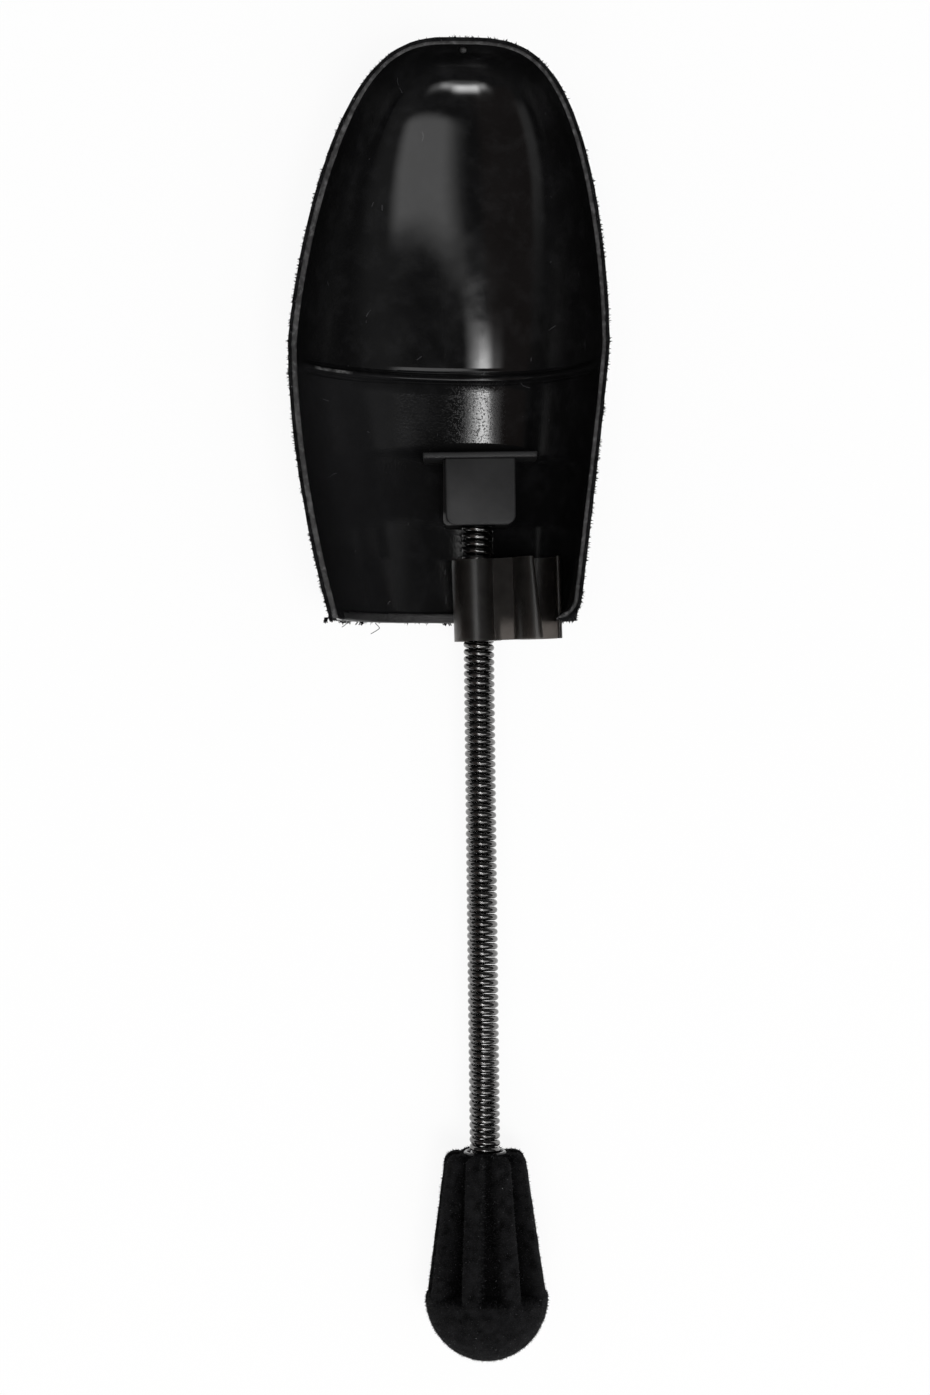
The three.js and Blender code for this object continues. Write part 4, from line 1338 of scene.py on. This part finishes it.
class SHOETREE_OT_spring(bpy.types.Operator):
    """Wind the coil spring in two halves"""

    bl_idname = "shoe_tree.spring"
    bl_label = "Spring"

    def execute(self, context):
        material = steel_material()
        split = COIL_FRONT_Y - TOE_TURNS * PITCH
        toe_half = self.coil("spring_toe_half", COIL_FRONT_Y, TOE_TURNS)
        heel_half = self.coil("spring_heel_half", split, HEEL_TURNS)
        for half in (toe_half, heel_half):
            finish_piece(half, None, "spring", "spring_steel", material)
        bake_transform(toe_half)
        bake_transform(heel_half)
        return {"FINISHED"}

    def coil(self, name, front, turns):
        """A run of turns from a front end towards the heel."""
        settings = shape()
        deselect()
        bpy.ops.mesh.primitive_circle_add(vertices=WIRE_SIDES, radius=settings.wire / 2, fill_type="NGON")
        coil = named(name)
        stand = Matrix.Rotation(math.radians(90), 4, "Y")
        coil.data.transform(Matrix.Translation((0, 0, settings.coil)) @ stand)
        apply_modifier(coil, "SCREW", axis="Y", angle=2 * math.pi, screw_offset=-PITCH * MM,
                       iterations=turns, steps=COIL_STEPS, render_steps=COIL_STEPS,
                       use_merge_vertices=False, use_normal_calculate=True)
        coil.data.transform(Matrix.Translation(Vector((AXIS_X, front, AXIS_Z)) * MM))
        lean(coil)
        tidy_mesh(coil, 60)
        return coil


def heading(degrees):
    """A flat unit vector at an angle."""
    turn = math.radians(degrees)
    return Vector((math.cos(turn), math.sin(turn)))


class SHOETREE_OT_pair_clip(bpy.types.Operator):
    """Build the smoky clip: a sleeve on the spring with an open channel beside it"""

    bl_idname = "shoe_tree.pair_clip"
    bl_label = "Pair Clip"

    def execute(self, context):
        outlines = [self.outline(self.left_lip(row)) for row in range(CLIP_ROWS + 1)]
        columns = len(outlines[0])

        def outside(column, row):
            x, z = outlines[row][column % columns]
            return x, CLIP_LENGTH * (0.5 - row / CLIP_ROWS), z

        def bore(column, row):
            turn = 2 * math.pi * column / BORE_STEPS
            y = CLIP_LENGTH * (0.5 - row / CLIP_ROWS)
            return SLEEVE_RADII[0] * math.cos(turn), y, SLEEVE_RADII[0] * math.sin(turn)

        clip = loft("spring_clip", columns, CLIP_ROWS, outside)
        join(clip, loft("clip_bore", BORE_STEPS, CLIP_ROWS, bore))
        for end in (0.5, -0.5):
            level = CLIP_LENGTH * end * MM
            select_edges(clip, lambda a, b: max(abs(a.y - level), abs(b.y - level)) < NEAR * MM)
            bpy.ops.mesh.fill()
            bpy.ops.object.mode_set(mode="OBJECT")
        tidy_mesh(clip, 40)
        round_edges(clip, CLIP_ROUND, segments=2, angle_deg=60)
        turn = Matrix.Rotation(math.radians(CLIP_SKEW_DEG), 4, "Z")
        clip.data.transform(Matrix.Translation(Vector((CLIP_X, CLIP_Y, AXIS_Z)) * MM) @ turn)
        tidy_mesh(clip, 40)
        finish_piece(clip, "clip", "pair_clip", "smoked_plastic", smoke_material())
        return {"FINISHED"}

    def left_lip(self, row):
        """The left lip's angle along the clip, so that its edge runs aslant."""
        share = row / CLIP_ROWS
        return MOUTH_LEFT_DEG[0] + (MOUTH_LEFT_DEG[1] - MOUTH_LEFT_DEG[0]) * share

    def outline(self, left_lip):
        """The clip's section as one closed line: round the sleeve, along the web and round the channel."""
        inner, outer = SLEEVE_RADII
        middle = (inner + outer) / 2
        start = heading(WEB_FROM_DEG) * middle
        channel = Vector(CHANNEL_PLACE)
        c_inner, c_outer = CHANNEL_RADII
        c_middle = (c_inner + c_outer) / 2
        end = channel - Vector((c_middle, 0))
        along = (end - start).normalized()
        up = Vector((-along.y, along.x)) * WEB_THICK / 2
        points = []

        def arc(centre, radius, from_deg, to_deg, count):
            for i in range(count + 1):
                points.append(centre + heading(from_deg + (to_deg - from_deg) * i / count) * radius)

        def meet(centre, radius, offset, sign):
            """Angle where a web side meets a circle."""
            base = start + offset - centre
            half = base.dot(along)
            root = math.sqrt(half * half - base.length_squared + radius * radius)
            hit = base + along * (-half + sign * root)
            return math.degrees(math.atan2(hit.y, hit.x))

        zero = Vector((0, 0))
        top_sleeve = meet(zero, outer, up, 1)
        low_sleeve = meet(zero, outer, -up, 1)
        top_channel = meet(channel, c_outer, up, -1) % 360
        low_channel = meet(channel, c_outer, -up, -1) % 360
        half_wall = (c_outer - c_inner) / 2
        right_lip = MOUTH_RIGHT_DEG
        clear = LIP_CLEAR_DEG
        low, high = LIP_TURN_DEG
        arc(zero, outer, top_sleeve + clear, low_sleeve + 360 - clear, SLEEVE_STEPS)
        arc(channel, c_outer, low_channel + clear, 360 + right_lip - clear, CHANNEL_STEPS["right"])
        arc(channel + heading(right_lip) * c_middle, half_wall, right_lip + low, right_lip + high, LIP_STEPS)
        arc(channel, c_inner, 360 + right_lip - clear, left_lip + clear, CHANNEL_STEPS["inside"])
        arc(channel + heading(left_lip) * c_middle, half_wall, left_lip - high, left_lip - low, LIP_STEPS)
        arc(channel, c_outer, left_lip + clear, top_channel - clear, CHANNEL_STEPS["left"])
        return [(p.x, p.y) for p in points]


class SHOETREE_OT_heel_knob(bpy.types.Operator):
    """Build the knob's plastic core with its collar round the spring"""

    bl_idname = "shoe_tree.heel_knob"
    bl_label = "Heel Knob Core"

    def execute(self, context):
        inner, outer = COLLAR_RADII
        top = COLLAR_TOP_Y
        widen, low = COLLAR_INSIDE_ROUND
        narrow, drop = COLLAR_OUTSIDE_ROUND
        profile = [(inner, CORE_END_Y), (inner, top - low), (inner + widen, top), (outer - narrow, top),
                   (outer, top - drop), (outer, CORE_END_Y), (inner, CORE_END_Y)]

        def place(column, row):
            turn = 2 * math.pi * column / COLLAR_STEPS
            radius, y = profile[row]
            return AXIS_X + radius * math.sin(turn), y, AXIS_Z + radius * math.cos(turn)

        core = loft("knob_core", COLLAR_STEPS, len(profile) - 1, place)
        lean(core)
        tidy_mesh(core, 35)
        finish_piece(core, "heel", "heel_knob", "shell_plastic", shell_material())
        return {"FINISHED"}


class SHOETREE_OT_heel_velvet(bpy.types.Operator):
    """Build the flocked knob with its eight fins and round end"""

    bl_idname = "shoe_tree.heel_velvet"
    bl_label = "Heel Velvet"

    def execute(self, context):
        rows = self.rows()
        around = len(rows[0][1])

        def place(column, row):
            y, outline = rows[row]
            across, up = outline[column % around]
            return AXIS_X + across, y, AXIS_Z + up

        knob = loft("knob_flock", around, len(rows) - 1, place)
        lean(knob)
        uneven(knob, **KNOB_WAVES)
        tidy_mesh(knob, 70)
        fuzz = fibres("knob_fuzz", knob, length=shape().fibre, wanted=lambda point, normal: 1.0, **KNOB_FUZZ)
        join(knob, fuzz)
        finish_piece(knob, "heel", "heel_velvet", "velvet", velvet_material(True))
        pale_fibres(knob, **KNOB_PALE)
        return {"FINISHED"}

    def rows(self):
        """Rows of the knob from the hole round the spring to the tip, each as (y, outline)."""
        rows = []
        body = KNOB_TOP_Y - FIN_FOOT_Y

        def sizes(y):
            share = min(max((KNOB_TOP_Y - y) / body, 0.0), 1.0)
            tip = FIN_TIP[0] + (FIN_TIP[1] - FIN_TIP[0]) * share
            floor = FIN_FLOOR[0] + (FIN_FLOOR[1] - FIN_FLOOR[0]) * share
            return tip, floor

        def rounded(y, inset):
            """The section at y, drawn in by a share of the top's rounding."""
            tip, floor = sizes(y)
            edge = FIN_EDGE[1] + (FIN_EDGE[0] - FIN_EDGE[1]) * inset
            return self.fin_outline(tip - FIN_TOP_ROUND * inset, floor - FLOOR_TOP_ROUND * inset,
                                    FIN_HALF - SIDE_TOP_ROUND * inset, edge)

        rim = rounded(KNOB_TOP_Y, 1.0)
        hole = self.ring(rim, COLLAR_RADII[1] - KNOB_HOLE_OVERLAP)
        rows.append((KNOB_TOP_Y - FIN_TOP_ROUND, hole))
        for share in KNOB_TOP_SHARES:
            line = [(a[0] + (b[0] - a[0]) * share, a[1] + (b[1] - a[1]) * share) for a, b in zip(hole, rim)]
            rows.append((KNOB_TOP_Y, line))
        for i in range(FIN_TOP_STEPS + 1):
            turn = math.pi / 2 * i / FIN_TOP_STEPS
            y = KNOB_TOP_Y - FIN_TOP_ROUND * (1 - math.cos(turn))
            rows.append((y, rounded(y, 1 - math.sin(turn))))
        start = KNOB_TOP_Y - FIN_TOP_ROUND
        for i in range(1, FIN_ROWS + 1):
            y = start + (FIN_FOOT_Y - start) * i / FIN_ROWS
            rows.append((y, rounded(y, 0.0)))
        tip, floor = sizes(FIN_FOOT_Y)
        for above, grow, fill in LEDGE_ROWS:
            wide = tip + grow
            outline = self.fin_outline(wide, floor + (wide - floor) * fill, FIN_HALF, FIN_EDGE[1])
            rows.append((LEDGE_Y + above, outline))
        base = rows[-1][1]
        for i in range(CAP_STEPS + 1):
            turn = math.pi / 2 * i / CAP_STEPS
            radius = CAP_RADIUS * max(math.cos(turn), 0.0)
            rows.append((CAP_Y - (CAP_Y - KNOB_TIP_Y) * math.sin(turn), self.ring(base, radius)))
        return rows

    def ring(self, outline, radius):
        """A circle with its points at the angles of an outline."""
        found = []
        for across, up in outline:
            size = math.hypot(across, up)
            found.append((across / size * radius, up / size * radius))
        return found

    def fin_outline(self, tip, floor, half, edge):
        """Section of the fins: groove floor, fillet, side, rounded edge and tip, eight times round."""
        sector = 2 * math.pi / FIN_COUNT
        edge = min(edge, half * 0.8, max((tip - floor) * 0.4, 0.05))
        fillet = min(FIN_FILLET, max((tip - floor) * 0.3, 0.03))
        half_line = []
        corner = math.asin(min((half + fillet) / floor, 0.99))
        for i in range(3):
            turn = sector / 2 + (corner - sector / 2) * i / 3
            turn = max(turn, corner)
            half_line.append((floor * math.cos(turn), -floor * math.sin(turn)))
        foot = math.sqrt(max(floor ** 2 - (half + fillet) ** 2, 0.0))
        for i in range(4):
            turn = math.pi / 2 * i / 3
            half_line.append((foot + fillet * (1 - math.cos(turn)), -half - fillet * (1 - math.sin(turn))))
        low = foot + fillet
        high = max(tip - edge, low + 0.01)
        for i in range(1, 5):
            half_line.append((low + (high - low) * i / 5, -half))
        for i in range(5):
            turn = math.pi / 2 * i / 4
            half_line.append((high + edge * math.sin(turn), -half + edge * (1 - math.cos(turn))))
        flat = half - edge
        half_line.append((tip + FIN_CROWN[0], -flat * 0.5))
        other = [(a, -b) for a, b in reversed(half_line)]
        whole = half_line + [(tip + FIN_CROWN[1], 0.0)] + other[:-1]
        points = []
        for k in range(FIN_COUNT):
            turn = sector * (k + 0.5) - math.radians(FIN_ROLL_DEG)
            c, s = math.cos(turn), math.sin(turn)
            points += [(a * c - b * s, a * s + b * c) for a, b in whole]
        return points


class SHOETREE_OT_stage(bpy.types.Operator):
    """Set the pale floor, the soft lights and the camera"""

    bl_idname = "shoe_tree.stage"
    bl_label = "Stage"

    def execute(self, context):
        settings = context.scene.shoe_tree_stage
        self.floor(settings)
        self.world(settings)
        for name, values in PANELS.items():
            self.panel(settings, name, **values)
        self.camera()
        context.scene.view_settings.view_transform = "Standard"
        return {"FINISHED"}

    def floor(self, settings):
        """The pale floor under the part."""
        deselect()
        bpy.ops.mesh.primitive_plane_add(size=FLOOR_SIZE * MM, location=(0, 0, FLOOR_Z * MM))
        floor = named("floor")
        floor.data.materials.append(floor_material(settings.shadow))

    def world(self, settings):
        """A white room that is dim in reflections."""
        world = bpy.data.worlds.new("studio")
        bpy.context.scene.world = world
        world.use_nodes = True
        tree = world.node_tree
        tree.nodes.clear()
        out = tree.nodes.new("ShaderNodeOutputWorld")
        path = tree.nodes.new("ShaderNodeLightPath")
        shader = self.background(tree, settings.around)
        for ray, strength in WORLD_RAYS.items():
            mix = tree.nodes.new("ShaderNodeMixShader")
            tree.links.new(path.outputs[ray], mix.inputs[0])
            tree.links.new(shader, mix.inputs[1])
            tree.links.new(self.background(tree, strength), mix.inputs[2])
            shader = mix.outputs[0]
        tree.links.new(shader, out.inputs["Surface"])

    def background(self, tree, strength):
        """White light of a strength for the world."""
        node = tree.nodes.new("ShaderNodeBackground")
        node.inputs["Color"].default_value = (1, 1, 1, 1)
        node.inputs["Strength"].default_value = strength
        return node.outputs[0]

    def panel(self, settings, name, level, angles, sizes, soft, share=1.0, colour=(1.0, 1.0, 1.0),
              roll=0.0, cut=(0.0, 0.0), mirrored=True):
        """A panel lit by a share of a stage level; reflections show it only where it is mirrored."""
        radiance = getattr(settings, level) * share
        across, along = (math.tan(math.radians(angle)) for angle in angles)
        way = Vector((across, along, 1)).normalized()
        spans = [angle + fade for angle, fade in zip(sizes, soft)]
        size = [2 * PANEL_AWAY * MM * math.tan(math.radians(span / 2)) for span in spans]
        data = bpy.data.lights.new(name, "AREA")
        data.shape = "RECTANGLE"
        data.size, data.size_y = size
        data.color = colour
        data.energy = radiance * math.pi * size[0] * size[1]
        self.soften(data, [fade / span for fade, span in zip(soft, spans)], cut)
        lamp = bpy.data.objects.new(name, data)
        bpy.context.scene.collection.objects.link(lamp)
        lamp.location = Vector(PANEL_TARGET) * MM + way * PANEL_AWAY * MM
        wide_way = Vector((0, 1, 0)).cross(way).normalized()
        turn = Matrix((wide_way, way.cross(wide_way), way)).transposed()
        lamp.rotation_euler = (turn @ Matrix.Rotation(math.radians(roll), 3, "Z")).to_euler()
        lamp.visible_glossy = mirrored
        lamp.visible_transmission = mirrored

    def soften(self, data, shares, cut):
        """Lets a panel's light fade out over shares of its size; cut moves and slants its rear edge."""
        data.use_nodes = True
        tree = data.node_tree
        emission = next(node for node in tree.nodes if node.type == "EMISSION")

        def maths(operation, *inputs):
            node = tree.nodes.new("ShaderNodeMath")
            node.operation = operation
            for socket, value in zip(node.inputs, inputs):
                if isinstance(value, bpy.types.NodeSocket):
                    tree.links.new(value, socket)
                else:
                    socket.default_value = value
            return node.outputs[0]

        def fade(off, share):
            node = tree.nodes.new("ShaderNodeMapRange")
            node.interpolation_type = "SMOOTHSTEP"
            tree.links.new(off, node.inputs["Value"])
            ends = {"From Min": 0.5 - share, "From Max": 0.5, "To Min": 1.0, "To Max": 0.0}
            for socket, value in ends.items():
                node.inputs[socket].default_value = value
            return node.outputs["Result"]

        place = tree.nodes.new("ShaderNodeSeparateXYZ")
        tree.links.new(tree.nodes.new("ShaderNodeNewGeometry").outputs["Parametric"], place.inputs[0])
        across = maths("SUBTRACT", place.outputs[0], 0.5)
        along = maths("SUBTRACT", place.outputs[1], 0.5)
        edge = maths("SUBTRACT", cut[0], maths("MULTIPLY", across, cut[1]))
        along = maths("MAXIMUM", maths("SUBTRACT", 0.0, along), maths("ADD", along, edge))
        across = maths("ABSOLUTE", across)
        strength = maths("MULTIPLY", fade(across, shares[0]), fade(along, shares[1]))
        tree.links.new(strength, emission.inputs["Strength"])

    def camera(self):
        """The camera straight over the part."""
        data = bpy.data.cameras.new("camera")
        data.lens = LENS
        data.sensor_width = SENSOR
        data.clip_start = CLIP_START
        camera = bpy.data.objects.new("camera", data)
        bpy.context.scene.collection.objects.link(camera)
        camera.location = Vector(CAMERA_PLACE) * MM
        bpy.context.scene.camera = camera


class SHOETREE_PT_panel(bpy.types.Panel):
    """Lists the steps and settings of the shoe tree"""

    bl_idname = "SHOETREE_PT_panel"
    bl_label = "Shoe Tree"
    bl_space_type = "VIEW_3D"
    bl_region_type = "UI"
    bl_category = "Shoe Tree"

    def draw(self, context):
        layout = self.layout
        for group in (context.scene.shoe_tree_shape, context.scene.shoe_tree_colours,
                      context.scene.shoe_tree_stage):
            box = layout.box()
            for key in group.bl_rna.properties.keys():
                if key not in ("rna_type", "name"):
                    box.prop(group, key)
        for step in STEPS:
            layout.operator(step.bl_idname)


STEPS = (
    SHOETREE_OT_toe_shell,
    SHOETREE_OT_toe_velvet,
    SHOETREE_OT_spring_holder,
    SHOETREE_OT_spring,
    SHOETREE_OT_pair_clip,
    SHOETREE_OT_heel_knob,
    SHOETREE_OT_heel_velvet,
    SHOETREE_OT_stage,
)
CLASSES = (ShapeSettings, ColourSettings, StageSettings, *STEPS, SHOETREE_PT_panel)


def register():
    """Registers the classes and their settings."""
    for cls in CLASSES:
        bpy.utils.register_class(cls)
    bpy.types.Scene.shoe_tree_shape = bpy.props.PointerProperty(type=ShapeSettings)
    bpy.types.Scene.shoe_tree_colours = bpy.props.PointerProperty(type=ColourSettings)
    bpy.types.Scene.shoe_tree_stage = bpy.props.PointerProperty(type=StageSettings)


def unregister():
    """Removes the classes and their settings."""
    del bpy.types.Scene.shoe_tree_stage
    del bpy.types.Scene.shoe_tree_colours
    del bpy.types.Scene.shoe_tree_shape
    for cls in reversed(CLASSES):
        bpy.utils.unregister_class(cls)


def main():
    """Builds every piece in order."""
    register()
    bpy.ops.shoe_tree.toe_shell()
    bpy.ops.shoe_tree.toe_velvet()
    bpy.ops.shoe_tree.spring_holder()
    bpy.ops.shoe_tree.spring()
    bpy.ops.shoe_tree.pair_clip()
    bpy.ops.shoe_tree.heel_knob()
    bpy.ops.shoe_tree.heel_velvet()
    bpy.ops.shoe_tree.stage()
    deselect()
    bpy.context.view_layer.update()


if __name__ == "__main__":
    main()
